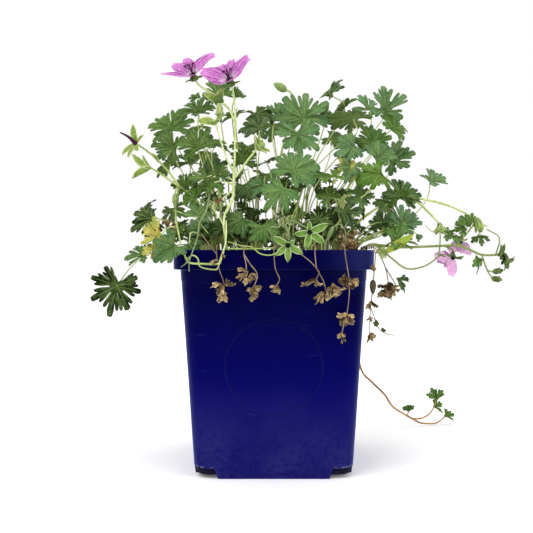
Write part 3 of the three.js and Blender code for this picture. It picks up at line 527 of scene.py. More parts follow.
mottledFinishes = {  # name, two colours, the flecks' colour, scale, share of flecks, roughness, relief
    "petiole": ("petiole", (174, 194, 104), (212, 222, 154), (132, 158, 74), 70.0, 0.4),
    "stem": ("limeStem", (210, 220, 160), (178, 198, 116), (146, 168, 92), 60.0, 0.4),
    "olive": ("oliveStem", (118, 136, 74), (138, 150, 88), (128, 88, 70), 50.0, 0.4),
    "calyx": ("greenCalyx", (104, 126, 66), (70, 94, 42), (74, 36, 44), 240.0, 0.6),
    "greyStem": ("greyStem", (138, 154, 106), (108, 128, 80), (88, 106, 66), 90.0, 0.4),
    "stipule": ("redStipule", (146, 98, 68), (120, 76, 52), (110, 110, 60), 150.0, 0.4),
    "stamen": ("darkStamen", (58, 16, 44), (80, 26, 60), (30, 8, 24), 900.0, 0.5),
    "seed": ("blackSeed", (20, 22, 20), (34, 34, 30), (8, 8, 8), 500.0, 0.4, 0.4),
    "yellowLeaf": ("yellowLeaf", (196, 186, 92), (154, 164, 76), (110, 78, 42), 90.0, 0.9),
    "dryBud": ("dryBud", (92, 84, 62), (58, 50, 38), (28, 22, 16), 200.0, 0.8, 0.8, 0.8),
    "loopStem": ("loopStem", (152, 172, 94), (186, 200, 130), (150, 128, 88), 60.0, 0.4),
    "limeLeaf": ("limeLeaf", (180, 190, 78), (140, 166, 62), (112, 120, 52), 120.0, 0.5),
    "dryStalk": ("dryStalk", (158, 140, 112), (122, 102, 80), (62, 46, 36), 90.0, 0.5, 0.8, 0.5),
    "clump": ("dryClump", (176, 150, 98), (128, 100, 62), (50, 34, 20), 220.0, 0.8, 0.9, 1.0),
    "runner": ("tanRunner", (196, 156, 100), (150, 106, 70), (108, 70, 48), 40.0, 0.5),
    "soil": ("pottingSoil", (62, 46, 34), (38, 28, 22), (18, 13, 10), 180.0, 0.8, 0.95, 1.0),
    # painted shade: the feet are the pot's plastic darkened almost to black, for the shade under the pot
    "paintedShadeFoot": ("footPlasticPaintedShade", (4, 4, 34), (14, 14, 44), (2, 2, 12), 90.0, 0.4, 0.7, 0.1),
}
finishes = {key: mottledFinish(*row) for key, row in mottledFinishes.items()}
finishes.update({
    "leaf": leafFinish("leafTop", False),
    "leafUnder": leafFinish("leafUnderside", True),
    "petal": petalFinish("veinedPetal", srgb(212, 136, 206), srgb(194, 112, 188), 0.82),
    # painted light: a paler copy of the petal finish, lightened to make up for the shade on the flowers that
    # face down
    "petalPaintedLight": petalFinish("palePetalPaintedLight", srgb(238, 184, 226), srgb(226, 164, 214), 0.26),
    "sepal": sepalFinish("paleEdgedSepal", srgb(150, 170, 88), srgb(122, 148, 64), srgb(92, 118, 46),
                         srgb(198, 208, 150)),
    "star": sepalFinish("starSepal", srgb(124, 158, 72), srgb(98, 134, 54), srgb(74, 108, 40),
                        srgb(186, 204, 152)),
    "bud": budFinish(),
    "dryLeaf": dryFinish(),
    "pot": potFinish(),
})
print("materials made:", len(finishes))
buildStage()
lightWorld()

# Leaves: one disc of rings is modelled, and each copy takes the outline of a cut leaf

leafForm = dict(
    rings=(0.08, 0.28, 0.48, 0.66, 0.84, 1.0), rimPoints=20,  # of each lobe, and one at the notch
    halfLobe=((0.8, 0.42), (0.98, 0.58), (1.08, 0.71), (1.0, 0.81), (0.8, 0.84), (0.6, 0.79), (0.46, 0.74),
              (0.4, 0.87), (0.25, 0.98)),  # share of the lobe's half width, share of its length
    cutAt=0.46, cut=(-0.02, 0.17), sinus=0.25, notch=0.15, ragged=0.06, full=(0.86, 1.08),
    veins={0.8: 0.8, 0.6: 0.3},  # strength by share of the half width
    halves={  # turn, length and half width of each lobe of one side
        7: ((0, 1.0, 20.5), (45, 0.98, 20), (90, 0.92, 19.5), (133, 0.78, 18)),
        5: ((0, 1.0, 24), (53, 0.96, 23.5), (106, 0.82, 22.5)),
        3: ((0, 1.0, 24), (56, 0.95, 23)),
    },
    spacing={7: 22, 5: 26, 3: 28}, sevenFrom=19, fiveFrom=10,
    grow=1.08, thickness=0.36, channel=0.1, fold=32, flat=0.3, wave=0.03,
    tilt=(-0.26, 0.26), twist=(-0.32, 0.32), curl=(-0.3, 0.12), drift=(0.34, 0.24),
)
leafTones = {
    # the deep leaves' tone is painted shade: the darkest tone, for the small leaves deep in the clump and
    # low over the soil
    "darkLeaf": (0.12, 0.08), "leaf": (0.6, 0.12), "greyLeaf": (0.62, 0.78), "shadedDeepLeaf": (-0.08, 0.0),
}


def makeLeafMaster(lobes):
    points = leafForm["rimPoints"] * lobes + 1
    rings = leafForm["rings"]
    master = addShape(bpy.ops.mesh.primitive_circle_add, vertices=points, radius=rings[0],
                      fill_type="TRIFAN")
    master.name = f"leafDisc{lobes}"
    bpy.ops.object.mode_set(mode="EDIT")
    bpy.ops.mesh.select_mode(type="EDGE")
    bpy.ops.mesh.select_all(action="SELECT")
    bpy.ops.mesh.region_to_loop()
    for inner, outer in zip(rings, rings[1:]):
        bpy.ops.mesh.extrude_edges_move()
        bpy.ops.transform.resize(value=(outer / inner, outer / inner, 1), center_override=(0, 0, 0))
    bpy.ops.mesh.select_all(action="SELECT")
    bpy.ops.mesh.normals_make_consistent(inside=False)
    bpy.ops.object.mode_set(mode="OBJECT")
    if master.data.polygons[0].normal.z < 0:
        master.data.flip_normals()
    bpy.ops.object.shade_smooth()
    places = placesOf(master)
    turn = np.rint(np.arctan2(-places[:, 0], places[:, 1]) / (2 * np.pi) * points).astype(int) % points
    return {"disc": master, "share": np.hypot(places[:, 0], places[:, 1]),
            "step": (turn + (points + 1) // 2) % points}


def cutOutline(lobes, draw, slim=None):  # angle, reach, lobe, place across it and vein of each rim point
    half = leafForm["halves"][lobes]
    order = [(-middle, length, width) for middle, length, width in half[:0:-1]] + list(half)
    rows = [(-180.0, leafForm["notch"], 0, -1.0, 0.0)]
    full = slim or draw.uniform(*leafForm["full"])
    for index, (middle, length, width) in enumerate(order):
        sinusAt = middle - leafForm["spacing"][lobes]
        middle += draw.uniform(-4, 4)
        length *= draw.uniform(0.9, 1.05)
        width *= full * draw.uniform(0.93, 1.05)
        rows.append((sinusAt, leafForm["sinus"] * draw.uniform(0.8, 1.5), index, -1.0, 0.0))
        ragged = [draw.uniform(1 - leafForm["ragged"], 1 + leafForm["ragged"]) for _ in range(3)]
        cut = draw.uniform(*leafForm["cut"])
        for side in (-1, 1):
            if side > 0:
                rows.append((middle, length * ragged[1], index, 0.0, 1.0))
            for across, reach in leafForm["halfLobe"][::-side]:
                reach -= cut if across == leafForm["cutAt"] else 0
                reach *= ragged[1 if across < 0.4 else 1 + side]
                vein = leafForm["veins"].get(across, 0.0) if reach > 0.5 else 0.0
                rows.append((middle + side * width * across, length * reach, index, side * across, vein))
    return np.array(rows)


def layLeaf(at, size, face, tip, droop=-0.18, via=(), lobes=None, slim=None, ownTone=None, *, tone, draw):
    # via only shapes the stalk
    lobes = lobes or (7 if size >= leafForm["sevenFrom"] else 5 if size >= leafForm["fiveFrom"] else 3)
    master = leafMasters[lobes]
    size *= leafForm["grow"]
    outline = cutOutline(lobes, draw, slim)[master["step"]]
    angle, lobe, across = np.radians(outline[:, 0]), outline[:, 2].astype(int), outline[:, 3]
    reach = master["share"] * outline[:, 1]
    tilts, twists, curls = (np.array([draw.uniform(*leafForm[key]) for _ in range(lobes)])[lobe]
                            for key in ("tilt", "twist", "curl"))
    outer = np.maximum(0, reach - leafForm["flat"])
    lift = tilts * outer + (2 * droop + curls) * outer ** 2 + 0.5 * twists * across * reach
    lift += leafForm["channel"] * reach * (np.abs(across) - 0.5)
    lift += leafForm["wave"] * reach * np.sin(3 * angle + draw.uniform(0, 6))
    fold = math.radians(leafForm["fold"] * (0.5 + 0.5 * math.sin(at[0] + 2 * at[2])))  # both halves rise
    x = -size * reach * np.sin(angle)
    y = size * reach * np.cos(angle)
    points = np.stack([x * math.cos(fold), y, size * lift + np.abs(x) * math.sin(fold)], axis=1)
    leaf = copyMesh(master["disc"], placePoints(points, at, face, tip))
    colour = np.ones((len(points), 4))
    for i, (start, drift) in enumerate(zip(ownTone or tone, leafForm["drift"])):
        colour[:, i] = min(1, max(0, start + draw.uniform(-drift, drift)))
    colour[:, 2] = outline[:, 4] * np.clip(1.2 - master["share"], 0, 1)
    paintTone(leaf, colour)
    return leaf


def layLeaves(rows, tone, draw, name, top="leaf", under="leafUnder"):
    whole = joinParts([layLeaf(*row, tone=tone, draw=draw) for row in rows], name)
    whole.data.materials.clear()
    for finish in (top, under):
        whole.data.materials.append(finishes[finish])
    return thicken(whole, leafForm["thickness"], -1.0, 1)


leafMasters = {lobes: makeLeafMaster(lobes) for lobes in (7, 5, 3)}

# Leafy stems: node, where it stands, tone, and for each leaf its join, size, facing and middle lobe's way.
# Some rows go on with droop, points on the way of the stalk, lobes, slimness and a tone of their own

leafyStems = [
    ("leafy_stem_left_low", (-50, -8), "darkLeaf", [
        ((-98, -18, 199), 18, (-1, -7, 6), (-9, 0, -5)),
        ((-104, -26, 170), 15, (-2, -6, 6), (-9, -2, 3), -0.1, ((-66, -14, 182), (-86, -20, 180)), 5, 0.9,
         (0.6, 0.5)),
        ((-127, -16, 145), 23, (0, -9, 1), (-3, -1, -9), -0.05,
         ((-64, -6, 178), (-88, -8, 176), (-112, -11, 164)), 7, 0.93, (0.12, -0.3)),
    ]),
    ("leafy_stem_left_front", (-52, -46), "greyLeaf", [
        ((-74, -79.5, 176), 17, (0, -9, 3), (-5, 0, -4), -0.12, ((-64, -54, 184), (-77, -70, 187)), 5, 1.08,
         (0.3, 0.62)),
        ((-57, -52, 191), 11, (0, -8, 4), (-3, 0, 5)),
        ((-57, -62, 200), 13, (0, -7, 6), (2, 0, 6)),
        ((-63, -70, 178), 10, (1, -8, 4), (5, 0, -3), -0.15, ((-56, -54, 184), (-62, -65, 187)), 5, 0.95,
         (0, 0.2)),
    ]),
    ("leafy_stem_left_middle", (-48, -22), "leaf", [
        ((-83, -9, 273), 20, (-1, -8, 5), (-4, 0, 8)),
        ((-80, -23, 255), 17, (0, -9, 3), (-6, 0, 2)),
        ((-68, -4, 245), 16, (0, -5, 8), (-9, -1, -1)),
        ((-70, -26, 225), 12, (-2, -9, 2), (-4, 0, 6)),
    ]),
    ("leafy_stem_left_upper", (-38, -30), "leaf", [
        ((-59, -32, 282), 19, (0, -6, 8), (-6, -2, 4)),
        ((-58, -44, 254), 18, (0, -9, 2), (-4, 0, 7)),
        ((-47, -28, 257), 12, (2, -3, 9), (9, 0, 1)),
        ((-52, -40, 231), 14, (-6, 6, 4), (-4, 0, -8), -0.05, ((-42, -34, 205), (-46, -38, 230))),
        ((-61, -46, 214), 11, (-2, -8, 3), (-6, 0, 2), -0.1, ((-42, -34, 188), (-55, -42, 206))),
    ]),
    ("leafy_stem_left_back", (-34, -8), "darkLeaf", [
        ((-45, -8, 301), 15, (0, -9, 3), (-4, 0, 8)),
        ((-60, -15, 297), 9, (0, -5, 8), (-9, 0, 3)),
        ((-50, -14, 238), 14, (-5, -8, 1), (0, 0, 9)),
        ((-31, 6, 302), 9, (2, -8, 3), (5, 0, 6)),
    ]),
    ("leafy_stem_middle_left", (-18, -14), "darkLeaf", [
        ((-14, -6, 285), 18, (1, -3, 9), (6, -5, 0)),
        ((-11, -26, 271), 18, (0, -6, 7), (-3, -3, 4)),
        ((-24, -26, 244), 13, (0, -9, 1), (0, 0, 9)),
        ((-22, -36, 224), 13, (-1, -8, 5), (2, -2, -6)),
    ]),
    ("leafy_stem_middle", (0, -26), "greyLeaf", [
        ((2, -4, 286), 14, (1, -5, 8), (5, 0, 5)),
        ((24, -22, 279), 25, (0, -9, 2), (1, 0, 9), -0.1),
        ((19, -38, 264), 20, (0, -8, 4), (1, -1, -8), -0.15),
    ]),
    ("leafy_stem_middle_front", (8, -48), "greyLeaf", [
        ((15, -60, 234), 20, (0, -8, 4), (4, -1, 6), -0.12),
        ((6, -66, 219), 17, (0, -8, 4), (-5, -1, -6), -0.12),
        ((-8, -46, 224), 13, (-1, -6, 6), (-3, -1, -5)),
    ]),
    ("leafy_stem_front_low", (-18, -52), "leaf", [
        ((-24, -58, 196), 14, (0, -8, 4), (-5, 0, -5)),
        ((-8, -64, 191), 15, (1, -8, 5), (1, -1, -6)),
        ((-40, -48, 190), 12, (-2, -8, 4), (-4, 0, 6)),
    ]),
    ("leafy_stem_front_right", (32, -52), "darkLeaf", [
        ((34, -62, 196), 13, (0, -8, 3), (0, 0, 8)),
        ((54, -56, 203), 14, (2, -8, 4), (3, -1, -5)),
        ((42, -57, 213), 12, (1, -8, 5), (-4, 0, 6)),
    ]),
    ("leafy_stem_middle_right", (20, -14), "darkLeaf", [
        ((43, -14, 281), 15, (2, -7, 5), (6, 0, 8)),
        ((47, 2, 303), 14, (-7, -4, 4), (3, 0, 6)),
        ((59, 14, 292), 14, (-7, -3, 5), (3, 0, 5)),
        ((64, -25, 278), 19, (0, 4, 8), (-9, -1, 1), -0.1),
    ]),
    ("leafy_stem_right_upper", (34, -4), "greyLeaf", [
        ((94, 8, 290), 22, (2, -8, 2), (1, 0, 9), -0.12, (), 5, 0.82, (0.5, 0.7)),
        ((79, -9, 288), 17, (0, -6, 7), (-6, -2, 3)),
    ]),
    ("leafy_stem_right_outer", (46, 2), "leaf", [
        ((101, 10, 276), 18, (5, -7, 2), (3, 0, 6)),
        ((98, -8, 247), 19, (-3, -8, 2), (8, 0, 2), -0.1, (), 5, 0.86, (0.4, 0.3)),
        ((81, -14, 261), 17, (0, -8, 4), (-3, 0, 7)),
    ]),
    ("leafy_stem_right_inner", (34, -28), "greyLeaf", [
        ((62, -36, 255), 15, (0, -9, 2), (-5, 0, -2)),
        ((82, -36, 246), 17, (0, -8, 5), (5, 0, 5)),
        ((60, -42, 238), 12, (1, -7, 5), (-2, -1, -5)),
    ]),
    ("leafy_stem_right_front", (46, -40), "leaf", [
        ((80, -54, 232), 16, (-1, -8, 5), (-6, 0, -2)),
        ((68, -44, 217), 16, (-2, -6, 6), (-6, -1, -5)),
        ((46, -50, 230), 18, (0, -3, 9), (-9, -1, -1), -0.08),
    ]),
    ("leafy_stem_right_low", (58, -20), "greyLeaf", [
        ((132, 6, 232), 15, (0, -5, 8), (6, 0, 4), 0.1, ((78, -14, 194), (108, -6, 198), (127, 4, 214))),
        ((104, -20, 194), 17, (0, -8, 4), (5, 0, 6), -0.12, ((76, -22, 188), (92, -20, 192))),
        ((90, -8, 194), 13, (-1, -8, 5), (-6, 0, 3), -0.12, ((72, -14, 186), (83, -10, 192))),
        ((99, -27, 194), 13, (0, -8, 3), (-6, 0, -5), -0.12, ((76, -26, 184), (90, -30, 191))),
        ((114, -30, 186), 6, (5, -8, 1), (1, 0, -8), -0.1,
         ((74, -24, 184), (92, -24, 189), (109, -27, 190)), 3),
    ]),
    ("leafy_stem_far_1", (-46, 14), "leaf", [
        ((-105.0, 9.0, 209.4), 16, (-0.98, 0.07, 0.91), (-0.79, -0.19, 0.02), -0.2),
        ((-90.0, 35.0, 249), 16, (-0.81, 0.3, 1.2), (-1.08, 0.17, 0.03), -0.2),
        ((-61.4, 14.3, 278.3), 16, (-0.6, 0.13, 1.49), (-0.98, 0.12, -0.6), -0.2),
    ]),
    ("leafy_stem_far_2", (-32, 28), "leaf", [
        ((-90.3, 65.0, 210.5), 16, (-0.82, 0.55, 0.87), (-0.35, 0.62, -0.12), -0.2,
         ((-61, 46, 198), (-79, 58, 206))),
        ((-59.8, 63.5, 261.4), 17, (-0.57, 0.55, 1.32), (-0.8, 0.27, -0.45), -0.2),
        ((-32.1, 20.2, 286.8), 15, (-0.36, 0.19, 1.61), (-0.29, -0.26, -0.06), -0.2),
    ]),
    ("leafy_stem_far_3", (-14, 36), "leaf", [
        ((-51.1, 91.3, 220.9), 17, (-0.51, 0.82, 0.98), (-0.88, 1.0, 0.03), -0.2),
        ((-24.2, 74.7, 267.8), 18, (-0.27, 0.67, 1.39), (-0.73, 1.05, 0.0), -0.2),
        ((-51.0, 98.7, 194.0), 14, (-0.5, 0.87, 0.73), (-0.01, 1.32, -0.06), -0.2,
         ((-32, 67, 190), (-44, 86, 193))),
    ]),
    ("leafy_stem_far_4", (6, 24), "leaf", [
        ((0.3, 54.7, 285.3), 18, (-0.05, 0.5, 1.57), (-0.15, 0.88, -0.21), -0.2),
        ((-7.0, 92.6, 244), 16, (-0.12, 0.86, 1.2), (-0.27, 0.98, -0.09), -0.2),
        ((16.2, 23.0, 290.9), 15, (0.1, 0.22, 1.67), (-0.07, 0.45, -0.3), -0.2),
    ]),
    ("leafy_stem_far_5", (12, 46), "leaf", [
        ((17.5, 109.7, 209.4), 17, (0.1, 0.98, 0.87), (0.52, 0.68, -0.15), -0.2,
         ((15, 78, 198), (16, 97, 206))),
        ((30.5, 85.5, 254.7), 16, (0.22, 0.78, 1.29), (-0.14, 0.78, -0.21), -0.2),
        ((-16.8, 107.3, 182.3), 13, (-0.21, 0.98, 0.63), (0.06, 1.42, -0.26), -0.2,
         ((-2, 77, 186), (-11, 95, 190))),
    ]),
    ("leafy_stem_far_6", (32, 34), "leaf", [
        ((62.4, 90.3, 224.6), 18, (0.5, 0.81, 1.01), (0.51, 1.06, -0.35), -0.2),
        ((53.0, 60.1, 274.7), 17, (0.41, 0.53, 1.44), (0.66, 0.05, -0.39), -0.2),
        ((55.1, 100.6, 186.1), 14, (0.44, 0.9, 0.67), (0.48, 0.6, -0.09), -0.2,
         ((44, 67, 186), (50, 87, 190))),
    ]),
    ("leafy_stem_far_7", (48, 24), "leaf", [
        ((103.3, 65.6, 214.9), 18, (0.81, 0.55, 0.91), (1.13, 0.96, 0.04), -0.2,
         ((76, 45, 200), (92, 57, 210))),
        ((91.7, 45.6, 260.5), 16, (0.71, 0.38, 1.29), (0.9, 0.84, -0.58), -0.2),
        ((72.9, 60.3, 242), 14, (0.64, 0.58, 1.2), (0.91, 0.68, -0.09), -0.2),
    ]),
]
stemForm = dict(
    foot=151, crown=165, startRadius=0.6, endRadius=0.46, stubRadius=2.1, crownRadius=1.6,
    start=((0.8, 163), (6, 170)), fan=0.7, base=160, bow=5.0, near=0.22,  # start: reach, height
    fillLeaves=5, fillSize=(6, 12), fillFrom=188,
    lowLeaves=4, lowSize=(5, 9), lowHeight=(177, 194), lowReach=15, lowEdge=68,
)


def rootWay(root, crown=stemForm["crown"]):  # from its hole in the soil to the crown
    return [(*root, stemForm["foot"]), (*root, crown)]


def petioleWay(root, row, index):
    at, face = row[0], row[2]
    turn = math.atan2(at[1] - root[1], at[0] - root[0]) + stemForm["fan"] * ((2 * index) % 5 - 2)
    ahead = (math.cos(turn), math.sin(turn))
    start = [(root[0] + reach * ahead[0], root[1] + reach * ahead[1], z) for reach, z in stemForm["start"]]
    if len(row) > 5 and row[5]:
        middle = row[5]
    else:
        rise = at[2] - stemForm["base"]
        bow = min(stemForm["bow"], 0.12 * rise)
        near = [root[i] + stemForm["near"] * (at[i] - root[i]) + bow * ahead[i] for i in range(2)]
        middle = [(*near, 164 + 0.5 * rise), along(at, (face[0], face[1], face[2] + 3), -0.14 * rise)]
    return [*start, *middle, along(at, face, -0.25)]


def fillerRows(root, leaves, draw):  # small leaves deep in the clump, and low ones over the soil
    rows = []
    for _ in range(stemForm["fillLeaves"]):
        other = leaves[draw.randrange(len(leaves))][0]
        share = draw.uniform(0.3, 0.62)
        x = root[0] + share * (other[0] - root[0]) + draw.uniform(-9, 9)
        y = root[1] + share * (other[1] - root[1]) + draw.uniform(-7, 7)
        rise = share * (other[2] - stemForm["base"]) * 1.15
        z = max(stemForm["fillFrom"], stemForm["base"] + rise + draw.uniform(-8, 14))
        face = (draw.uniform(-3, 3) + 0.05 * x, draw.uniform(-6, 0) + 0.06 * y, 5)
        tip = (draw.uniform(-5, 5), draw.uniform(-3, 3), draw.uniform(-3, 5))
        rows.append(((x, y, z), draw.uniform(*stemForm["fillSize"]), face, tip, -0.15))
    edge = stemForm["lowEdge"]
    for _ in range(stemForm["lowLeaves"]):
        turn = draw.uniform(0, 2 * math.pi)
        reach = stemForm["lowReach"] * draw.uniform(0.4, 1)
        x = min(edge, max(-edge, root[0] + reach * math.cos(turn)))
        y = min(edge - 4, max(-edge, root[1] + 0.7 * reach * math.sin(turn)))
        face = (draw.uniform(-5, 5), draw.uniform(-7, -1), draw.uniform(1, 6))
        tip = (draw.uniform(-5, 5), draw.uniform(-3, 3), draw.uniform(-3, 5))
        at = (x, y, draw.uniform(*stemForm["lowHeight"]))
        rows.append((at, draw.uniform(*stemForm["lowSize"]), face, tip, -0.15))
    return rows


ageing = {  # yellow leaves among the green ones
    "leafy_stem_right_inner": [((60, -38, 243), 11, (0, -7, 5), (-5, 0, -4), -0.15, (), 3),
                               ((57, -39, 241), 8, (0, -7, 4), (4, 0, -5), -0.15, (), 3)],
}


def buildLeafyStem(node, root, colour, leaves):
    draw = random.Random(node)
    fillers = fillerRows(root, leaves, draw)
    # painted shade: the filler leaves take the darkest tone, for the shade deep in the clump
    parts = [layLeaves(leaves, leafTones[colour], draw, node),
             layLeaves(fillers, leafTones["shadedDeepLeaf"], draw, node + "Deep")]
    ways = [(petioleWay(root, row, index), stemForm["startRadius"], stemForm["endRadius"])
            for index, row in enumerate(leaves + fillers)]
    parts.append(drawStalks(node + "Stalks", ways, finishes["petiole"]))
    stub = (rootWay(root), stemForm["stubRadius"], stemForm["crownRadius"])
    parts.append(drawStalks(node + "Crown", [stub], finishes["dryStalk"], 2))
    if node in ageing:
        parts.append(layLeaves(ageing[node], (1, 0), draw, node + "Old", "yellowLeaf", "yellowLeaf"))
    standFor(joinParts(parts, camelName(node)), "leaf", node)


for stem in leafyStems:
    buildLeafyStem(*stem)
print("leafy stems made:", len(leafyStems))

# Petals, sepals, buds and seeds: grids and balls are modelled once, and each copy is bent to its place


def makeGridMaster(name, across, outward):
    master = addShape(bpy.ops.mesh.primitive_grid_add, True, x_subdivisions=across, y_subdivisions=outward,
                      size=2)
    master.name = name
    places = placesOf(master)
    return {"sheet": master, "across": places[:, 0], "outward": (places[:, 1] + 1) / 2}


petalGrid = makeGridMaster("petalGrid", 10, 12)
sepalGrid = makeGridMaster("sepalGrid", 4, 7)
bladeForms = {  # profile: share of the length, share of the width
    "petal": dict(
        grid=petalGrid, width=0.32, profile=((0, 0.2), (0.15, 0.34), (0.45, 0.84), (0.72, 1.0), (1, 0.72)),
        notch=0.08, rounding=0.4, curl=26, dish=0.12, thickness=0.22,
    ),
    "sepal": dict(
        grid=sepalGrid, width=0.27,
        profile=((0, 0.42), (0.22, 0.84), (0.46, 1.0), (0.68, 0.9), (0.84, 0.58), (0.93, 0.24), (1, 0.06)),
        notch=0.0, rounding=0.0, curl=20, dish=0.4, thickness=0.3,
    ),
}


def ringRows(kind, length, opening, start, draw):  # turn, length, opening and curl of five even blades
    curl = bladeForms[kind]["curl"]
    return [(math.degrees(start) + 72 * i + draw.uniform(-4, 4), length * draw.uniform(0.93, 1.04),
             opening + draw.uniform(-4, 4), curl + draw.uniform(-6, 6)) for i in range(5)]


def layRing(kind, at, axis, rows, draw, finish, wide=1.0):  # a row's fifth value rolls its blade
    form = bladeForms[kind]
    across, outward = form["grid"]["across"], form["grid"]["outward"]
    stops, widths = zip(*form["profile"])
    parts = []
    for turn, reach, opening, curl, *roll in rows:
        angle = math.radians(turn)
        roll = math.radians(roll[0] if roll else 0)
        edge = 1 - form["rounding"] * np.abs(across) ** 3 - form["notch"] * np.exp(-(across / 0.2) ** 2)
        t = outward * edge
        half = np.interp(outward, stops, widths) * form["width"] * wide * reach
        bend = math.radians(curl) or 0.01
        lean = math.radians(opening) - bend / 2
        slope = lean + bend * t
        dish = form["dish"] * half * across ** 2 + 0.03 * reach * t * np.sin(4 * across + draw.uniform(0, 6))
        dish += across * half * math.sin(roll)
        out = (math.cos(lean) - np.cos(slope)) / bend * reach - np.cos(slope) * dish
        rise = (np.sin(slope) - math.sin(lean)) / bend * reach + np.sin(slope) * dish
        sideways = across * half * math.cos(roll)
        points = np.stack([np.cos(angle) * sideways - np.sin(angle) * out,
                           np.cos(angle) * out + np.sin(angle) * sideways, rise], axis=1)
        parts.append(copyMesh(form["grid"]["sheet"], placeOnAxis(points, at, axis), finish))
    return thicken(joinParts(parts, kind), form["thickness"])


def layBlades(seed, at, axis, rows, wide, finish="sepal"):
    return layRing("sepal", at, axis, rows, random.Random(seed), finishes[finish], wide)


ballMaster = addShape(bpy.ops.mesh.primitive_uv_sphere_add, True, segments=15, ring_count=9, radius=1)
ballPlaces = placesOf(ballMaster)
seedMaster = addShape(bpy.ops.mesh.primitive_ico_sphere_add, True, subdivisions=2, radius=1)
seedPlaces = placesOf(seedMaster)


budForm = dict(folds=5, foldDepth=0.07, fullness=1.15, taper=0.5)
seedHeadForm = dict(seeds=5, offset=0.1, rise=0.5, lean=0.3, length=0.24, radius=0.065)


def layBud(at, axis, length, radius, finish):  # egg with folded edges and a drawn-out tip
    share = (ballPlaces[:, 2] + 1) / 2
    angle = np.arctan2(ballPlaces[:, 1], ballPlaces[:, 0])
    ridge = 1 + budForm["foldDepth"] * np.cos(budForm["folds"] * angle)
    reach = np.hypot(ballPlaces[:, 0], ballPlaces[:, 1]) * radius * ridge
    reach *= budForm["fullness"] - budForm["taper"] * share
    points = np.stack([reach * np.cos(angle), reach * np.sin(angle), length * share], axis=1)
    return copyMesh(ballMaster, placeOnAxis(points, at, axis), finish)


def laySeed(at, axis, length, radius, finish):
    return copyMesh(seedMaster, placeOnAxis(seedPlaces * (radius, radius, length / 2), at, axis), finish)


def laySeedHead(at, axis, length):  # dark seeds about the middle of an old calyx
    form = seedHeadForm
    parts = []
    for angle in np.radians(360 / form["seeds"] * np.arange(form["seeds"])):
        side = np.array([[math.cos(angle), math.sin(angle), form["rise"]]])
        place = placePoints(side * form["offset"] * length, at, axis, (1, 0.1, 0.2))[0]
        lean = unit(axis) + form["lean"] * unit(place - np.array(at))
        sizes = form["length"] * length, form["radius"] * length
        parts.append(laySeed(place, lean, *sizes, finishes["seed"]))
    return parts


# Withered leaves: the leaf disc again, with narrow lobes that curl

witheredForm = dict(
    lobes=5, spread=0.36, narrow=0.46, reach=(0.6, 1.15), curl=(0.3, 1.1), turn=2.4, crumple=0.14, grain=4.2,
    fold=2.4, thickness=0.28, grow=1.15, jitter=0.26, tones=(0.1, 0.5, 0.9, 1.0),
)


def layWithered(at, size, tip, face, draw, tone=1.0, broad=0.0):  # narrow, rolled fingers, or a broad cup
    form = witheredForm
    master = leafMasters[form["lobes"]]
    outline = cutOutline(form["lobes"], draw)[master["step"]]
    share = master["share"]
    lobe = outline[:, 2].astype(int)

    def perLobe(pick):
        return np.array([pick() for _ in range(form["lobes"])])[lobe]

    middles = np.radians([outline[lobe == i, 0].mean() for i in range(form["lobes"])])[lobe]
    off = np.radians(outline[:, 0]) - middles
    reach = share * outline[:, 1] * perLobe(lambda: draw.uniform(*form["reach"]))
    ahead = reach * np.cos(off)
    across = reach * np.sin(off) * (form["narrow"] + 0.5 * broad)
    heading = middles * (form["spread"] + 0.34 * broad)
    heading += form["jitter"] * perLobe(lambda: draw.uniform(-1, 1))
    curls = perLobe(lambda: draw.uniform(*form["curl"]) * draw.choice((1, 1, -1)))
    turn = form["turn"] * curls * (1 - 0.4 * broad)
    out = np.sin(turn * ahead) / turn
    fold = perLobe(lambda: draw.choice((-1, 1))) * form["fold"] * (1 - 0.85 * broad)
    lift = (np.cos(turn * ahead) - 1) / turn + fold * across ** 2 / 0.2
    x = across * np.cos(heading) - out * np.sin(heading)
    y = across * np.sin(heading) + out * np.cos(heading)
    points = np.stack([x, y, lift], axis=1) * size
    shift = draw.uniform(0, 50)
    for i, point in enumerate(points):
        spot = Vector(point) * (form["grain"] / size) + Vector((shift, 0, 0))
        wobble = np.array([noise.noise(spot + Vector((0, 19 * step, 0))) for step in range(3)])
        points[i] += wobble * form["crumple"] * size * min(1, 3 * share[i])
    piece = copyMesh(master["disc"], placePoints(points, at, face, tip), finishes["dryLeaf"])
    colour = np.ones((len(points), 4))
    tones = perLobe(lambda: draw.choice(form["tones"]))
    colour[:, 0] = np.clip(tones * tone * np.clip(0.4 + share, 0, 1.1), 0, 1)
    colour[:, 1] = np.clip((share - 0.8) * 5, 0, 1) * tone
    paintTone(piece, colour)
    return thicken(piece, form["thickness"], 0.0)


# Flowering stems. A stalk is its points and the radius at its start and end, and the first one starts with
# the stem's radius. A calyx is its place, axis, length, opening, turn (or its five blades) and kind


def buildSpray(node, root, stalks, leaves=(), calyxes=(), buds=(), slotName="stem", finish="stem",
               radius=1.15, extra=()):
    draw = random.Random(node)
    rows = [(rootWay(root) + stalks[0][0], radius, stalks[0][1]), *stalks[1:]]
    parts = [drawStalks(node + "Stalks", rows, finishes[finish], 2)]
    if leaves:
        parts.append(layLeaves(leaves, leafTones["leaf"], draw, node + "Leaves"))
    for at, axis, length, opening, turn, kind in calyxes:
        kind = kind.lower()
        blade = finishes["calyx" if "dark" in kind else "star" if "star" in kind else "sepal"]
        if isinstance(turn, tuple):
            parts.append(layRing("sepal", at, axis, turn, draw, blade, 0.72))
        else:
            blades = ringRows("sepal", length, opening, turn, draw)
            parts.append(layRing("sepal", at, axis, blades, draw, blade))
        if "seeds" in kind:
            parts += laySeedHead(along(at, axis, 0.6), axis, length)
    for at, axis, length, thickness, *other in buds:
        parts.append(layBud(at, axis, length, thickness, finishes[other[0] if other else "bud"]))
    return standFor(joinParts(parts + list(extra), camelName(node)), slotName, node)


def layScraps(*rows):  # small withered bits
    return [layWithered(at, size, tip, (0, -8, 2), random.Random(size)) for at, size, tip in rows]


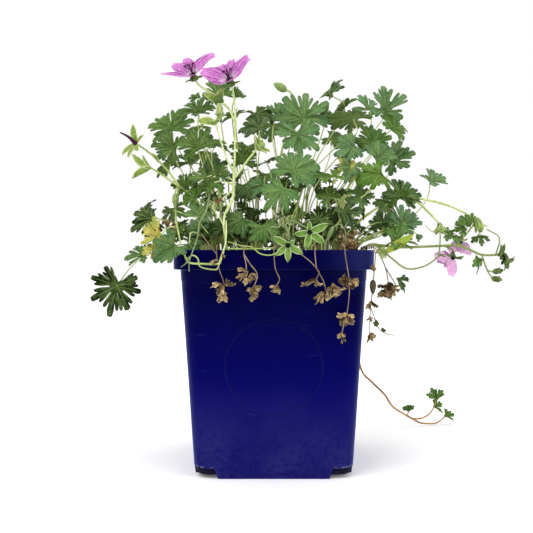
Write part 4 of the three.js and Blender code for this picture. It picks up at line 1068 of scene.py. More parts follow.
def laySeedCluster(at):
    parts = []
    for i in range(5):
        place = (at[0] + 1.6 * math.cos(i), at[1], at[2] + 3.2 * math.sin(2.2 * i))
        parts.append(laySeed(place, (i - 2, 0, 3), 3.4, 1.1, finishes["seed"]))
    return parts


flowerLeft, flowerMiddle = (-61.5, -46, 307), (-32.5, -60, 300)
flowerLow, flowerBehind = (145, -22, 168), (157, 4, 182)
fork = (-29, -56, 270)
buildSpray(
    "flowering_stem_main", (-34, -58),
    [([(-37, -64, 186), (-37, -64, 200), (-31, -60, 212), (-30, -58, 226), fork], 0.85),
     ([fork, (-34, -54, 281), (-41, -52, 288), (-49, -50, 295), (-57, -48, 300), flowerLeft], 0.95, 0.75),
     ([fork, (-30, -58, 289), flowerMiddle], 0.85, 0.75),
     ([(-34, -54, 281), (-38, -56, 285), (-41, -58, 282)], 0.75, 0.65),
     ([(-30, -57, 232), (-36, -58, 244), (-44, -58, 269)], 0.7, 0.6),
     ([(-29, -58, 229), (-20, -62, 241), (-12.7, -64, 249.4)], 0.9, 0.75),
     ([(-30, -58, 223), (-38, -59, 226), (-45, -58, 225)], 0.7, 0.55),
     ([(-30, -58, 226), (-36, -59, 230), (-41, -60, 231)], 0.6, 0.5),
     ([(-31, -59, 219), (-38, -61, 213), (-46, -62, 207), (-40, -64, 197), (-37, -66, 190)], 0.55, 0.45),
     ([(-36, -62, 196), (-35.4, -70, 188), (-35.8, -77.5, 178), (-38.4, -80.8, 170), (-40.4, -82, 163)],
      0.6, 0.5),
     ([(-30, -58, 240), (-30.5, -58.5, 226), (-31, -60, 214), (-36, -63, 202)], 0.9, 1.1)],
    leaves=[((-41, -60, 231), 9, (1, -9, 1), (4, 0, 8), -0.15, (), 5),
            ((-44, -57, 225), 14, (0, -4, 8), (-8, -1, -1), -0.15, (), 5)],
    calyxes=[(along(flowerLeft, (-3, -3, 9), -2.4), (-3, -3, 9), 8, 84, 0.8, "dark"),
             (along(flowerMiddle, (-3, -3, 9), -2.4), (-3, -3, 9), 8, 84, 0.5, "dark"),
             ((-44, -58, 269), (-1, -1, 6), 7, 62, 0.1, "fresh"),
             ((-12.7, -64, 249.2), (4, -2, 3), 11, 58, 0.3, "fresh"),
             ((-41, -58, 285), (0, 0, -1), 10, 20, 0.1, "fresh")],
    buds=[((-41, -58, 283), (0, 0, -1), 12, 2.6), ((-12.7, -64, 249.2), (4, -2, 3), 8, 3.0)], radius=0.9,
    extra=[layBlades("bracts", (-41, -52, 285), (-1, -2, 6),
                     ((174, 15, 50, 20, 56), (14, 13, 22, 10, -60), (90, 10, 16, 10)), 0.8),
           layBlades("open", (-44, -58, 269), (-1, -2, 6), ((178, 14, 72, 20, 50), (350, 9, 52, 20, -50)),
                     0.9),
           layBlades("stipule", (-38.5, -61, 213), (-5, -1, -3), ((270, 7, 6, 10), (0, 6, 10, 10, 60)), 0.6,
                     "stipule"),
           layBud((-41, -54, 283.5), (-1, -2, 6), 9, 4.0, finishes["calyx"]),
           drawStalks("mainBeak",
                      [([(-11, -65, 250.5), (-11.2, -65, 256.5), (-10.8, -65, 263)], 1.5, 0.35)],
                      finishes["sepal"], 2),
           laySeed((-40, -58, 272.5), (0, 0, -1), 5, 0.9, finishes["seed"]),
           layBud(along(flowerLeft, (-3, -3, 9), -3.4), (-3, -3, 9), 5.6, 3.7, finishes["calyx"]),
           layBud(along(flowerMiddle, (-3, -3, 9), -3.4), (-3, -3, 9), 5.6, 3.7, finishes["calyx"])],
)
joint = (-74, -36, 224)
seedHead = (-108, -30, 257.8)
buildSpray(
    "flowering_stem_left", (-50, -62),
    [([(-38, -70, 174), (-36, -76.4, 177), (-37.6, -80.5, 171), (-39.4, -81.8, 165.4), (-42, -82, 163.6),
       (-53, -81.5, 163.8), (-61, -81.5, 164.4), (-64, -80.5, 167), (-68, -78, 177), (-71, -70, 187),
       (-75, -50, 198), (-76, -40, 210), joint], 0.75),
     ([joint, (-81, -34, 233.5), (-89.5, -32, 243), (-98.5, -30, 251), seedHead], 0.95, 0.7),
     ([joint, (-82, -36, 229), (-90, -37, 234.6), (-96.5, -37, 238.4)], 0.85, 0.7),
     ([joint, (-76, -42, 221), (-76, -44, 216)], 0.7, 0.6),
     ([joint, (-70, -34, 221), (-69, -33, 216)], 0.7, 0.6),
     ([(-64, -80.6, 167), (-59.5, -81, 170), (-55.6, -81.6, 167.6), (-54.4, -82.4, 162.4),
       (-50, -82.8, 160.4), (-42.6, -82.8, 159.6), (-40.8, -82.6, 161.4), (-39.4, -82, 165.4)], 0.55, 0.5),
     ([(-34, -77, 174.9), (-22, -77, 174.8), (-10, -77, 175), (1, -78, 175.4)], 0.5, 0.45)],
    calyxes=[((-76, -44, 218), (0, 0, -1), 8, 22, 0.2, "fresh"),
             ((-69, -33, 218), (0, 0, -1), 7, 22, 0.2, "fresh")],
    buds=[((-76, -44, 218), (0, 0, -1), 12, 2.8), ((-69, -33, 218), (0, 0, -1), 10, 2.8)], radius=0.75,
    extra=[drawStalks("greyBlade",
                      [([(-51, -43, 229), (-48.5, -60, 217), (-50.5, -68, 203), (-55, -73, 194),
                         (-56.5, -76.5, 182), (-61.5, -81.5, 167), (-62, -82, 158)], 0.9, 0.3),
                       ([(-60.5, -80.8, 170), (-64, -81.5, 164.5), (-68, -82, 161.4)], 0.7, 0.25)],
                      finishes["greyStem"]),
           drawStalks("leftBeak",
                      [([seedHead, along(seedHead, (-6, -3, 4), 3), along(seedHead, (-6, -3, 5), 9),
                         along(seedHead, (-6, -3, 4), 16)], 2.2, 0.5)],
                      finishes["stamen"], 2),
           *layScraps(((-41.5, -82.6, 163), 8, (-3, 0, 7)), ((-43, -82.6, 164), 6, (-6, 0, 3)),
                      ((-38, -82, 168.6), 4.5, (4, 0, 6))),
           layBlades("head", seedHead, (-3, -4, 2),
                     ((20, 17, 74, 20), (128, 15, 84, 20), (228, 17, 66, 20), (178, 15, 72, 20),
                      (300, 11, 70, 20)),
                     0.7),
           layBlades("pair", (-96, -37, 238.2), (-5, -2, 0),
                     ((5, 18, 34, 14, 72), (176, 17, 30, 14, -72), (22, 12, 62, 20, 60)), 0.66),
           layBlades("bract", (-90.5, -32, 243), (-3, -2, 8), ((190, 10, 20, 10, 40),), 0.8)],
    finish="loopStem",
)
buildSpray(
    "flowering_stem_top_bud", (-2, -8),
    [([(2, -8, 210), (6, -6, 250), (14.5, -7, 280), (16.5, -8, 290), (16.2, -8, 297), (14.2, -8, 302.6),
       (11, -8, 304.6)], 0.8),
     ([(10, -6.5, 265), (12, -9, 284)], 0.7, 0.6)],
    buds=[((10.8, -8, 304), (-7, 0, 4), 12, 3.5), ((12, -9, 283), (-1, 0, 8), 8, 2.7)],
    calyxes=[((11.2, -8, 303.8), (-7, 0, 4), 8, 24, 0.2, "fresh")], radius=0.9,
)
buildSpray(
    "star_calyx_right", (18, -60),
    [([(14, -66, 180), (8, -73, 190.5), (8.4, -76, 195.2), (13.5, -77, 195), (20.2, -78, 192.2),
       (26, -79.5, 188.4)], 0.7),
     ([(50, -60, 151), (53, -62, 172), (54, -64, 186), (50, -65, 193), (44.4, -66, 191)], 0.45, 0.4)],
    calyxes=[((26, -80, 187), (0.6, -8, -1.4), 12, 84,
              ((187, 12, 84, 20), (95, 9.2, 72, 20), (24.5, 15, 82, 20), (323, 14, 84, 20),
               (257, 13, 84, 20)), "starSeeds")],
    buds=[((44.4, -66, 191.6), (-3, -1, -7), 12, 1.9, "greyStem")], radius=0.75, finish="greyStem",
)
buildSpray(
    "star_calyx_middle", (9, -64),
    [([(0, -68, 180), (-3, -73, 190), (3, -75, 190.8), (7, -76, 193), (9.7, -79.5, 189.5), (11, -83, 181)],
      0.65)],
    calyxes=[((10, -84, 177.5), (0, -8, -2), 12, 80,
              ((271, 12.6, 84, 16), (220, 12, 82, 18), (331, 13, 82, 18), (147, 13.2, 78, 20),
               (40, 7.5, 70, 20)), "starSeeds")],
    radius=0.75, finish="greyStem",
    extra=[drawStalks("rimStrand",
                      [([(-34, -70, 180), (-24, -76.8, 177), (-16, -79, 176), (-11.5, -81.6, 172),
                         (-6, -83.6, 170.2), (0, -84, 170.8), (5, -84, 174), (9, -84, 177)], 0.5, 0.42)],
                      finishes["loopStem"], 2)],
)
node, lowCalyx, tipNode = (105, -8, 217), (136, -8, 196), (168, 0, 197)
buildSpray(
    "flowering_stem_right", (56, -4),
    [([(66, -10, 192), (80, -12, 205), (93, -10, 212), node], 1.1),
     ([node, (118, -8, 213), (126, -8, 206), lowCalyx], 0.95, 0.8),
     ([lowCalyx, (131, -9, 189), (124, -10, 194)], 0.55, 0.35),
     ([lowCalyx, (139, -8, 189), (143, -8, 186)], 0.7, 0.6),
     ([node, (122, -4, 216), (144, -2, 211), (160, 0, 204), tipNode], 0.95, 0.8),
     ([tipNode, (163, 2, 190), flowerBehind], 0.75, 0.65),
     ([tipNode, (163, -3, 195), (158, -6, 192)], 0.7, 0.6),
     ([tipNode, (171, 1, 192), (172, 2, 185)], 0.7, 0.6)],
    leaves=[((105, -9, 217.5), 18, (0, -7, 4), (3, 0, 6), -0.1, (), 5),
            ((109, -7.5, 216), 12, (1, -5, 6), (9, 0, -1), -0.1, (), 3),
            ((101, -9.5, 216.4), 13, (-1, -7, 4), (-6, 0, 7), -0.1, (), 5),
            ((93, -10.8, 213), 10, (-1, -6, 6), (-6, -2, 5), -0.1, (), 3),
            ((143, -8, 186), 14, (1, -4, 7), (8, -1, 1), -0.2, (), 5),
            ((161, -5, 194), 12, (0, -8, 3), (-4, 0, 7), -0.15, (), 3),
            ((158, -6, 191), 11, (0, -6, 5), (-8, 0, -1), -0.15, (), 3),
            ((172, 2, 186), 10, (1, -8, 3), (1, 0, -8), -0.15, (), 3)],
    calyxes=[(lowCalyx, (1, -1, -6), 11, 40, 0.3, "seeds"),
             (flowerBehind, (-1, 1, -8), 6.5, 108, 0.8, "fresh"),
             ((167, 0, 201), (4, 0, -8), 13, 26, 0.2, "fresh")],
    buds=[((167, 0, 201), (4, 0, -8), 14, 4.2)], finish="petiole",
)
end = (184, -10, 170)
buildSpray(
    "flowering_stem_horizontal", (58, -36),
    [([(66, -43, 172), (75, -42, 178), (84, -40, 177.5), (101, -36, 176), (129, -30, 177),
       (145, -28, 177.5), (156, -22, 175), (169, -16, 170), end], 0.9),
     ([(136, -29, 177), (143, -26, 174), flowerLow], 0.8, 0.7),
     ([end, (187, -11, 170), (189, -12, 169)], 0.9, 0.8),
     ([(169, -16, 170), (174, -14, 158), (180, -12, 156)], 0.65, 0.55),
     ([(173, -14, 160), (175, -15, 155), (178, -16, 151)], 0.6, 0.5),
     ([(182, -10, 170), (186, -6, 184), (176, -4, 191)], 0.6, 0.5),
     ([(86, -40, 176), (90, -42, 179), (94, -43, 180)], 0.8, 0.7)],
    leaves=[((165, -16, 168), 12, (6, -4, 2), (0, 0, -8), -0.2, (), 3),
            ((94, -43, 180), 17, (1, -6, 6), (8, -1, 3), -0.1, (), 5)],
    calyxes=[(flowerLow, (-3, -1, -8), 9, 108, 0.8, "dark"),
             (end, (5, -3, 1), 11, 62, 0.6, "seedsDark"),
             ((188, -12, 166), (5, -3, -4), 10, 50, 0.2, "seedsDark"),
             ((179, -12, 156), (6, 0, 1), 7, 24, 0.2, "dark"),
             ((177, -16, 151), (6, 0, -1), 7, 24, 0.2, "dark")],
    buds=[((179, -12, 156), (6, 0, 1), 9, 2.6, "calyx"), ((177, -16, 151), (6, 0, -1), 9, 2.6, "calyx")],
    finish="olive",
    extra=[layBlades("blade", (87, -46, 172.5), (8, -1, 5),
                     ((270, 25, 4, 10), (90, 13, 16, 20), (270, 12, 20, 20)), 0.5, "limeLeaf"),
           layLeaves([((87, -43, 173), 8, (0, -6, 6), (-8, 0, -1), -0.1, (), 3)], (1, 0),
                     random.Random("lime"), "paleBits", "loopStem", "loopStem"),
           *laySeedCluster((187, -13.5, 166.5))],
)
buildSpray(
    "looping_stalk", (60, -56),
    [([(68, -52, 174), (76, -50, 178), (84, -48, 173), (92, -46, 167), (100, -43, 161), (107, -40, 159),
       (118, -37, 161), (125, -36, 165), (130, -36, 169)], 0.6),
     ([(130, -36, 169), (133.5, -24, 182), (136, -11, 192)], 0.6, 0.5)],
    leaves=[((130, -35, 170), 5, (0, -3, 8), (4, 0, 6), -0.15, (), 3)], finish="olive", radius=0.8,
)
print("flowering stems made")

# Flowers: name, place, axis, width, finish, and turn, length, opening, curl and roll of each petal

flowers = [
    ("flower_left", flowerLeft, (-3, -3, 9), 1.0, "petal",
     ((198, 26, 67, -10, 10), (150, 20.5, 52, 12, 36), (104, 19, 42, 22, 14), (10, 24.5, 66, 50, -24),
      (262, 12, 82, 10))),
    ("flower_middle", flowerMiddle, (-3, -3, 9), 1.0, "petal",
     ((178, 24, 53, 6, 54), (112, 17, 38, 20, 8), (62, 19, 40, 16, -10), (4, 23.5, 56, 18, -34),
      (268, 12, 80, 10))),
    ("flower_low", flowerLow, (-3, -1, -8), 1.3, "petalPaintedLight",
     ((178, 16, 78, -6, 64), (196, 14, 62, 6, 46), (72, 16.5, 20, 10, 12), (126, 13, 34, 8, -10),
      (270, 11, 40, 20))),
    ("flower_behind", flowerBehind, (-1, 1, -8), 1.2, "petalPaintedLight",
     ((8, 14, 48, 8, -56), (66, 11, 26, 12, -14), (172, 14, 46, 8, 56), (240, 11, 40, 20),
      (304, 11, 38, 20))),
]

flowerForm = dict(
    seatPetals=0.9, seatStamens=1.6, stamens=10, stamenLength=0.34, spread=(0.3, 0.6), filament=0.14,
    anther=(1.5, 0.42), column=(0.5, 0.25),
)


def buildFlower(name, at, axis, wide, finish, rows):
    draw = random.Random(name)
    petals = layRing("petal", along(at, axis, flowerForm["seatPetals"]), axis, rows, draw,
                     finishes[finish], wide)
    petals.name = camelName(name) + "Petals"
    standFor(petals, "petal", name + "_petals")
    middle = along(at, axis, flowerForm["seatStamens"])
    reach = flowerForm["stamenLength"] * rows[3][1]
    ways, tips = [], []
    for i in range(flowerForm["stamens"]):
        angle = math.radians(360 / flowerForm["stamens"] * i + draw.uniform(-8, 8))
        spread = draw.uniform(*flowerForm["spread"]) * reach
        turn = np.array([math.cos(angle), math.sin(angle), 0])
        local = [0.5 * turn, 0.12 * reach * turn + (0.3, 0, 0.55 * reach), spread * turn + (0, 0, reach)]
        way = placeOnAxis(np.array(local), middle, axis)
        ways.append((way, flowerForm["filament"], flowerForm["filament"] * 0.8))
        tips.append(laySeed(way[-1], axis, *flowerForm["anther"], finishes["stamen"]))
    column = [middle, along(middle, axis, 0.6 * reach), along(middle, axis, 1.15 * reach)]
    ways.append((column, *flowerForm["column"]))
    threads = drawStalks(name + "Threads", ways, finishes["stamen"])
    standFor(joinParts([threads, *tips], camelName(name) + "Stamens"), "stamen", name + "_stamens")


for flower in flowers:
    buildFlower(*flower)
print("flowers made:", len(flowers))

# Withered leaves that hang on dry stalks

drapeForm = dict(stem=(0.46, 0.34), branch=(0.42, 0.36))  # radius at the start, radius at the end


def buildDrape(node, root, stalks, leaves, buds=(), green=()):
    draw = random.Random(node)
    rows = [(rootWay(root) + stalks[0], *drapeForm["stem"])]
    rows += [(points, *drapeForm["branch"]) for points in stalks[1:]]
    parts = [drawStalks(node + "Stalks", rows, finishes["dryStalk"])]
    parts += [layWithered(at, size * witheredForm["grow"], tip, face, draw, *tone)
              for at, size, tip, face, *tone in leaves]
    parts += [layBud(*bud, finishes["dryBud"]) for bud in buds]
    if green:
        parts.append(layLeaves(green, leafTones["darkLeaf"], draw, node + "Green"))
    standFor(joinParts(parts, camelName(node)), "dry", node)


# node, where it crosses the rim, the ways of its stalks below the rim, its leaves
drapes = [
    ("withered_leaf_front_left", -42,
     [[(-40, -82, 160), (-37.5, -82.5, 153), (-36, -83, 148)],
      [(-42, -80.5, 171), (-46, -79, 176), (-54, -72, 186)]],
     [((-37, -83.5, 149), 12, (-6, 0, -6), (1, -8, 0)),
      ((-36, -83.5, 147.5), 8, (4, 0, 5), (-2, -8, 1), 0.7),
      ((-38, -83.5, 145), 9, (1, 0, -8), (1, -8, 0))]),
    ("withered_leaves_front_middle", -22,
     [[(-20.5, -82, 164), (-20, -82.5, 158)],
      [(-22, -80.5, 171), (-17, -82, 163), (-12.5, -82.5, 157), (-13.5, -83, 150), (-16, -83, 146)]],
     [((-19, -82.5, 158.5), 12, (-6, 0, -5), (1, -8, 0)),
      ((-17, -83, 157), 9, (2, 0, -8), (-2, -8, 1)),
      ((-13.5, -83, 148), 12, (-3, 0, -8), (2, -8, 1)),
      ((-14.5, -83.5, 147), 9, (8, 0, -1), (0, -8, 3))]),
    ("withered_leaf_front_centre", 0, [[(1, -82, 160), (4, -82.5, 153), (2, -82.5, 148)]],
     [((2, -82.5, 148.5), 10, (-2, 0, -8), (1, -8, 0))]),
    ("withered_leaves_front_right", 30,
     [[(31, -82, 161), (33, -82, 157), (36.5, -82, 150), (38, -82, 143)],
      [(33, -82, 158), (27, -81, 165), (18, -79.5, 172), (12, -76.5, 175.5)],
      [(33, -82, 157), (30.5, -82.5, 152)]],
     [((30, -82.5, 154), 11, (-4, 0, -8), (5, -6, 0)),
      ((36.5, -82.5, 144), 11, (-2, 0, -8), (2, -8, 0), 0.7),
      ((43, -83, 150), 13, (1, 0, -8), (-2, -8, 1)),
      ((43.5, -83.5, 146), 10, (5, 0, -5), (2, -8, 1))]),
    ("withered_leaves_front_corner", 52,
     [[(54, -82, 158), (55, -82.5, 150), (54.5, -83.5, 138), (53, -84, 127)],
      [(53, -84, 127), (51, -84, 120), (49.5, -84, 114)]],
     [((54.5, -83.5, 153.5), 8, (-2, 0, -8), (1, -8, 1), 0.3, 0.9),
      ((56.5, -84, 152.5), 6.5, (3, 0, -8), (-1, -8, 1), 0.9, 0.5),
      ((53, -84, 149), 6, (-2, 0, 6), (1, -8, 1), 0.3, 0.9),
      ((53, -84, 128), 11, (1, 0, -8), (-1, -8, 1), 1.0, 0.4),
      ((49.5, -84, 115), 8, (-1, 0, -8), (2, -8, 0), 0.8)]),
]
for node, x, ways, leaves in drapes:
    edge = (x, -80.5, 171)
    stalks = [[(x, -70, 174), (x, -76, 177.5), edge, *ways[0]], *ways[1:]]
    buildDrape(node, (x, -64), stalks, leaves)
buildDrape(
    "withered_leaf_corner", (62, -26),
    [[(66, -33, 172), (75, -34, 178), (82, -34, 173), (88, -36, 160), (90, -38, 148)],
     [(88, -36, 160), (92, -39, 153), (95, -42, 147)]],
    [((90.5, -38, 149), 17, (-1, 0, -8), (1, -8, 1), 0.85, 0.3),
     ((92, -39, 146), 11, (3, 0, -6), (-2, -8, 1), 1.0, 0.3),
     ((89.5, -39, 144), 13, (-2, 0, -8), (2, -8, 1), 0.7)],
    green=[((97, -42, 151), 11, (6, -6, 5), (6, 0, -6), -0.15, (), 3)],
)
buildDrape(
    "withered_stalk_edge", (62, -63),
    [[(67, -69, 174), (71, -73, 178), (74.5, -76.5, 172), (74, -76, 160), (72, -77, 140), (70.5, -78, 124),
      (70.5, -77, 112)],
     [(71, -77.5, 132), (74, -78, 124), (75.5, -78, 118)],
     [(75.5, -78, 118), (81, -78, 113), (88, -78, 111)]],
    [((70.5, -78, 113), 10, (2, 0, -8), (0, -1, 0), 0.6),
     ((73.5, -76, 158), 5, (0, 0, 8), (1, -8, 0), 0.3),
     ((71.5, -77.5, 137), 9, (-1, 0, -8), (-2, -8, 0), 0.7),
     ((70.6, -78, 125), 5, (1, 0, -8), (1, -8, 0), 0.5)],
    buds=[((73, -76, 152), (0, 0, -1), 11, 2.5)],
    green=[((75.5, -78, 118), 6, (8, -5, 1), (-2, 0, 8), -0.15, (), 3),
           ((79, -78, 114.5), 4, (0, -3, 8), (8, 0, 1), -0.15, (), 3)],
)
print("withered leaves made")


def buildYellowLeaf():
    draw = random.Random("yellow")
    root, knot = (-60, -34), (-90, -36, 184.5)
    rows = [([*rootWay(root, 163), (-66, -40, 186), (-80, -39, 192), knot], 0.9, 0.6),
            ([knot, (-92, -38, 181), (-94, -40, 177)], 0.6, 0.5)]
    leaves = [(knot, 16, (-2, -9, 2), (-6, 0, 3), -0.2, (), 3),
              ((-94, -40, 177), 13, (2, -8, 3), (1, 0, -8), -0.1, (), 3),
              (along(knot, (1, -1, 0), 2), 13, (2, -8, 4), (3, 0, -6), -0.2, (), 3)]
    parts = [drawStalks("yellowStalks", rows, finishes["petiole"]),
             layLeaves(leaves, (1, 0), draw, "yellowBlades", "yellowLeaf", "yellowLeaf"),
             layWithered((-84, -38, 190), 15, (6, 0, 6), (0, -1, 0), draw)]
    standFor(joinParts(parts, "yellowLeaf"), "yellow_leaf", "yellow_leaf")


clumpForm = dict(
    lumps=((57, -49, 179, 4.4), (61, -51, 177, 3.8), (53, -50, 178, 3.6), (58, -47, 184, 3.0)),
    rough=((0.32, 0.45), (0.16, 1.4)), foot=(2.2, 3.0),  # lumps: place, radius. rough: depth, density
    scales=30, scaleFrom=(50, -56, 174), scaleTo=(64, -47, 187), scaleSize=(4, 8),
    crumbs=14, crumbFrom=(58, -75.5, 174.3), crumbTo=(74.5, -74.5, 176.4), crumbLength=(1.2, 2.4),
    crumbRadius=(0.5, 0.9),
)


def somewhere(draw, low, high):
    return tuple([draw.uniform(*ends) for ends in zip(low, high)])


def buildClump():  # dead stem bases with papery scales, and crumbs of soil on the rim beside them
    draw = random.Random("clump")
    foot = ([*rootWay((50, -52), 166), (53, -51, 178)], *clumpForm["foot"])
    parts = [drawStalks("clumpFoot", [foot], finishes["clump"], 2)]
    (broad, coarse), (fine, dense) = clumpForm["rough"]
    for *at, radius in clumpForm["lumps"]:
        lump = addShape(bpy.ops.mesh.primitive_ico_sphere_add, True, subdivisions=4, radius=radius * mm)
        for vertex in lump.data.vertices:
            place = vertex.co * 1000
            push = 1 + broad * noise.noise(place * coarse + Vector(at)) + fine * noise.noise(place * dense)
            vertex.co = (place * push + Vector(at)) * mm
        lump.data.materials.append(finishes["clump"])
        parts.append(lump)
    for _ in range(clumpForm["scales"]):
        at = somewhere(draw, clumpForm["scaleFrom"], clumpForm["scaleTo"])
        face = (draw.uniform(-4, 4), -8, draw.uniform(-3, 5))
        size = draw.uniform(*clumpForm["scaleSize"])
        parts.append(layWithered(at, size, (draw.uniform(-5, 5), 0, draw.uniform(-6, 6)), face, draw))
    for _ in range(clumpForm["crumbs"]):
        at = somewhere(draw, clumpForm["crumbFrom"], clumpForm["crumbTo"])
        axis = (draw.uniform(-1, 1), draw.uniform(-1, 1), 0.6)
        length, radius = draw.uniform(*clumpForm["crumbLength"]), draw.uniform(*clumpForm["crumbRadius"])
        parts.append(laySeed(at, axis, length, radius, finishes["soil"]))
    standFor(joinParts(parts, "dryClump"), "dry", "dry_clump")


buildYellowLeaf()
buildClump()
runnerFork = (138, 121, 8)
runner = buildSpray(
    "runner", (48, 46),
    [([(56, 56, 178), (64, 68, 184), (72, 80, 172), (76, 86, 130), (79, 88, 90), (84, 91, 61), (95, 98, 48),
       (108, 105, 35), (118, 112, 21), runnerFork], 1.0),
     ([runnerFork, (149, 126, 8), (158, 128, 14), (163, 128, 26)], 0.9, 0.6),
     ([runnerFork, (146, 125, 3.4), (156, 128, 1.8), (164, 129, 2.6), (172, 130, 8.6)], 0.9, 0.6),
     ([(133, 119, 10), (133, 119, 13), (134, 120, 16)], 0.6, 0.5)],
    leaves=[((163, 128, 26), 12, (0, -8, 4), (-2, 0, 8), -0.15, (), 3),
            ((161, 128, 19), 10, (1, -6, 5), (6, 0, 3), -0.15, (), 3),
            ((134, 120, 16), 8, (-1, -6, 4), (-1, 0, 8), -0.15, (), 3),
            ((172, 130, 8.6), 9.6, (1, -5, 6), (7, 0, 4), -0.1, (), 3)],
    finish="runner", slotName="runner",
)
runner.name = "trailingRunner"
print("yellow leaf, clump and runner made")

# Pot

potForm = dict(
    cornerRadius=13.4, cornerSteps=8,
    profile=(  # half width, height
        (59.2, 8), (59.0, 0.4), (59.4, 0), (60.6, 0), (61, 0.4), (61.6, 9), (70.1, 145), (70.3, 150),
        (70.6, 151), (70.95, 158.6), (71.4, 159.2), (75.4, 159.3), (75.75, 159.45), (75.8, 159.9),
        (76, 172.6), (75.8, 173.5), (75.2, 174), (74.6, 174), (74.1, 173.6), (73.9, 163), (73.4, 162.2),
        (69, 161.6), (68.4, 160.5), (68.2, 154), (59.9, 10.8), (59.2, 10),
    ),
    notchFrom=45.2, notchTop=8.0, notchSlant=30, cutter=80,
    drain=(28, 6, 9, 20), foot=(47.6, 12.4, 5.5, 5.8, 1.2),  # reach, radius, height, depth, bevel
    pad=(17, 4.25, 8.3, 1.0),  # radius, height, depth, bevel
    ringRadius=36.5, ringWire=0.75, ringHeight=86, lean=0.0613, wallFoot=61, wallTop=70.8, wallHeight=159.3,
    smoothAngle=35,
)
corners = [(x, y) for x in (-1, 1) for y in (-1, 1)]


def cutWith(piece, cutter):
    applyModifier(piece, "BOOLEAN", operation="DIFFERENCE", solver="EXACT", object=cutter)
    bpy.data.objects.remove(cutter)


def addDisc(vertices, at, radius, height, depth, bevel=0.0):  # upright disc with its place in its mesh
    place = (at[0] * mm, at[1] * mm, height * mm)
    disc = addShape(bpy.ops.mesh.primitive_cylinder_add, vertices=vertices, radius=radius * mm,
                    depth=depth * mm, location=place)
    bpy.ops.object.transform_apply()
    if bevel:
        bpy.ops.object.mode_set(mode="EDIT")
        bpy.ops.mesh.select_all(action="SELECT")
        bpy.ops.mesh.bevel(offset=bevel * mm, segments=2, affect="EDGES")
        bpy.ops.object.mode_set(mode="OBJECT")
    return disc


def buildPotShell():  # one outline, drawn up the outside and down the inside
    profile = potForm["profile"]
    half, level = profile[0]
    shell = addShape(bpy.ops.mesh.primitive_plane_add, size=2 * half * mm)
    for vertex in shell.data.vertices:
        vertex.co.z = level * mm
    bpy.ops.object.mode_set(mode="EDIT")
    bpy.ops.mesh.select_mode(type="VERT")
    bpy.ops.mesh.select_all(action="SELECT")
    bpy.ops.mesh.bevel(offset=potForm["cornerRadius"] * mm, segments=potForm["cornerSteps"],
                       affect="VERTICES")
    bpy.ops.mesh.select_mode(type="EDGE")
    bpy.ops.mesh.select_all(action="SELECT")
    bpy.ops.mesh.region_to_loop()
    for nextHalf, nextLevel in profile[1:]:
        bpy.ops.mesh.extrude_edges_move(TRANSFORM_OT_translate={"value": (0, 0, (nextLevel - level) * mm)})
        bpy.ops.transform.resize(value=(nextHalf / half, nextHalf / half, 1), center_override=(0, 0, 0))
        half, level = nextHalf, nextLevel
    bpy.ops.mesh.edge_face_add()
    bpy.ops.mesh.select_all(action="SELECT")
    bpy.ops.mesh.remove_doubles(threshold=0.00001)
    bpy.ops.mesh.normals_make_consistent(inside=False)
    bpy.ops.object.mode_set(mode="OBJECT")
    return shell


def cutCorner(shell, signX, signY):  # leaves a flap at the foot of each side, and drills a drain hole
    size, slant = potForm["cutter"], potForm["notchSlant"] * mm
    middle = potForm["notchFrom"] + size / 2
    place = (signX * middle * mm, signY * middle * mm, (potForm["notchTop"] - size / 2) * mm)
    cutter = addShape(bpy.ops.mesh.primitive_cube_add, size=size * mm, location=place)
    bpy.ops.object.transform_apply()
    for vertex in cutter.data.vertices:
        if vertex.co.z < 0:
            vertex.co.x -= signX * slant
            vertex.co.y -= signY * slant
    cutWith(shell, cutter)
    reach, *sizes = potForm["drain"]
    cutWith(shell, addDisc(24, (signX * reach, signY * reach), *sizes))


def buildPot():
    parts = [buildPotShell()]
    for corner in corners:
        cutCorner(parts[0], *corner)
    reach, *sizes = potForm["foot"]
    for signX, signY in corners:
        parts.append(addDisc(32, (signX * reach, signY * reach), *sizes))
        # the feet take the near-black finish of painted shade
        parts[-1].data.materials.append(finishes["paintedShadeFoot"])
    parts.append(addDisc(40, (0, 0), *potForm["pad"]))
    rise = potForm["ringHeight"] / potForm["wallHeight"]
    half = potForm["wallFoot"] + (potForm["wallTop"] - potForm["wallFoot"]) * rise
    parts.append(addShape(
        bpy.ops.mesh.primitive_torus_add, major_radius=potForm["ringRadius"] * mm,
        minor_radius=potForm["ringWire"] * mm, major_segments=96, minor_segments=10,
        rotation=(math.radians(90) + potForm["lean"], 0, 0),
        location=(0, -half * mm, potForm["ringHeight"] * mm),
    ))
    bpy.ops.object.transform_apply()
    for part in parts:
        if not part.data.materials:
            part.data.materials.append(finishes["pot"])
    pot = joinParts(parts, "nurseryPot")
    makeActive(pot)
    bpy.ops.object.shade_smooth_by_angle(angle=math.radians(potForm["smoothAngle"]))
    standFor(pot, "pot", "pot")


buildPot()
print("pot made")

# Soil: the filling keeps its form, and a crumbly top lies on it

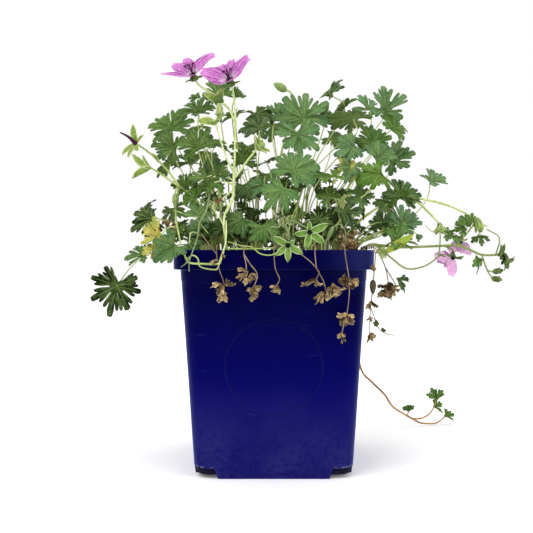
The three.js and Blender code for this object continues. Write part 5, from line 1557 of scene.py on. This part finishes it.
soilForm = dict(
    half=72.6, corner=11, level=160.4, relief=2.2, broad=0.035, fine=0.22, steps=90, thickness=1.2,
    crumbs=420, chips=26, crumbReach=70, crumbSizes=(0.8, 1.0, 1.3, 1.8, 2.4),
    crumbWide=(0.7, 1.4), crumbHigh=(0.5, 0.9), crumbRough=(0.75, 1.2),
)
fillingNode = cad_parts["soil"]
fillingNode.data.materials.clear()
fillingNode.data.materials.append(finishes["soil"])


def soilHeight(x, y):
    broad = noise.noise(Vector((x * soilForm["broad"], y * soilForm["broad"], 3)))
    fine = noise.noise(Vector((x * soilForm["fine"], y * soilForm["fine"], 7)))
    return soilForm["level"] + soilForm["relief"] * (0.6 + 0.7 * broad + 0.4 * fine)


def buildSoilTop():
    draw = random.Random("soil")
    half, steps = soilForm["half"], soilForm["steps"]
    top = addShape(bpy.ops.mesh.primitive_grid_add, True, x_subdivisions=steps, y_subdivisions=steps,
                   size=2 * half * mm)
    inset = half - soilForm["corner"]
    for vertex in top.data.vertices:
        x, y = vertex.co.x * 1000, vertex.co.y * 1000
        overX, overY = abs(x) - inset, abs(y) - inset
        if overX > 0 and overY > 0:  # rounds the corner
            keep = max(overX, overY) / math.hypot(overX, overY)
            x = math.copysign(inset + overX * keep, x)
            y = math.copysign(inset + overY * keep, y)
        vertex.co = (x * mm, y * mm, soilHeight(x, y) * mm)
    top.data.materials.append(finishes["soil"])
    parts = [thicken(top, soilForm["thickness"])]
    crumb = addShape(bpy.ops.mesh.primitive_ico_sphere_add, subdivisions=1, radius=1)
    places = placesOf(crumb)
    reach = soilForm["crumbReach"]
    for index in range(soilForm["crumbs"]):
        x, y = draw.uniform(-reach, reach), draw.uniform(-reach, reach)
        size = draw.choice(soilForm["crumbSizes"])
        stretch = [draw.uniform(*soilForm[key]) for key in ("crumbWide", "crumbWide", "crumbHigh")]
        stretch = np.array(stretch) * size
        rough = np.array([[draw.uniform(*soilForm["crumbRough"])] for _ in places])
        points = places * rough * stretch + np.array([x, y, soilHeight(x, y) + 0.3 * size])
        parts.append(copyMesh(crumb, points, finishes["clump" if index < soilForm["chips"] else "soil"]))
    bpy.data.objects.remove(crumb)
    standFor(joinParts(parts, "soilTop"), "soil")


buildSoilTop()
print("soil made")

masters = [master["disc"] for master in leafMasters.values()] + [petalGrid["sheet"], sepalGrid["sheet"]]
for master in masters + [ballMaster, seedMaster]:
    bpy.data.objects.remove(master)
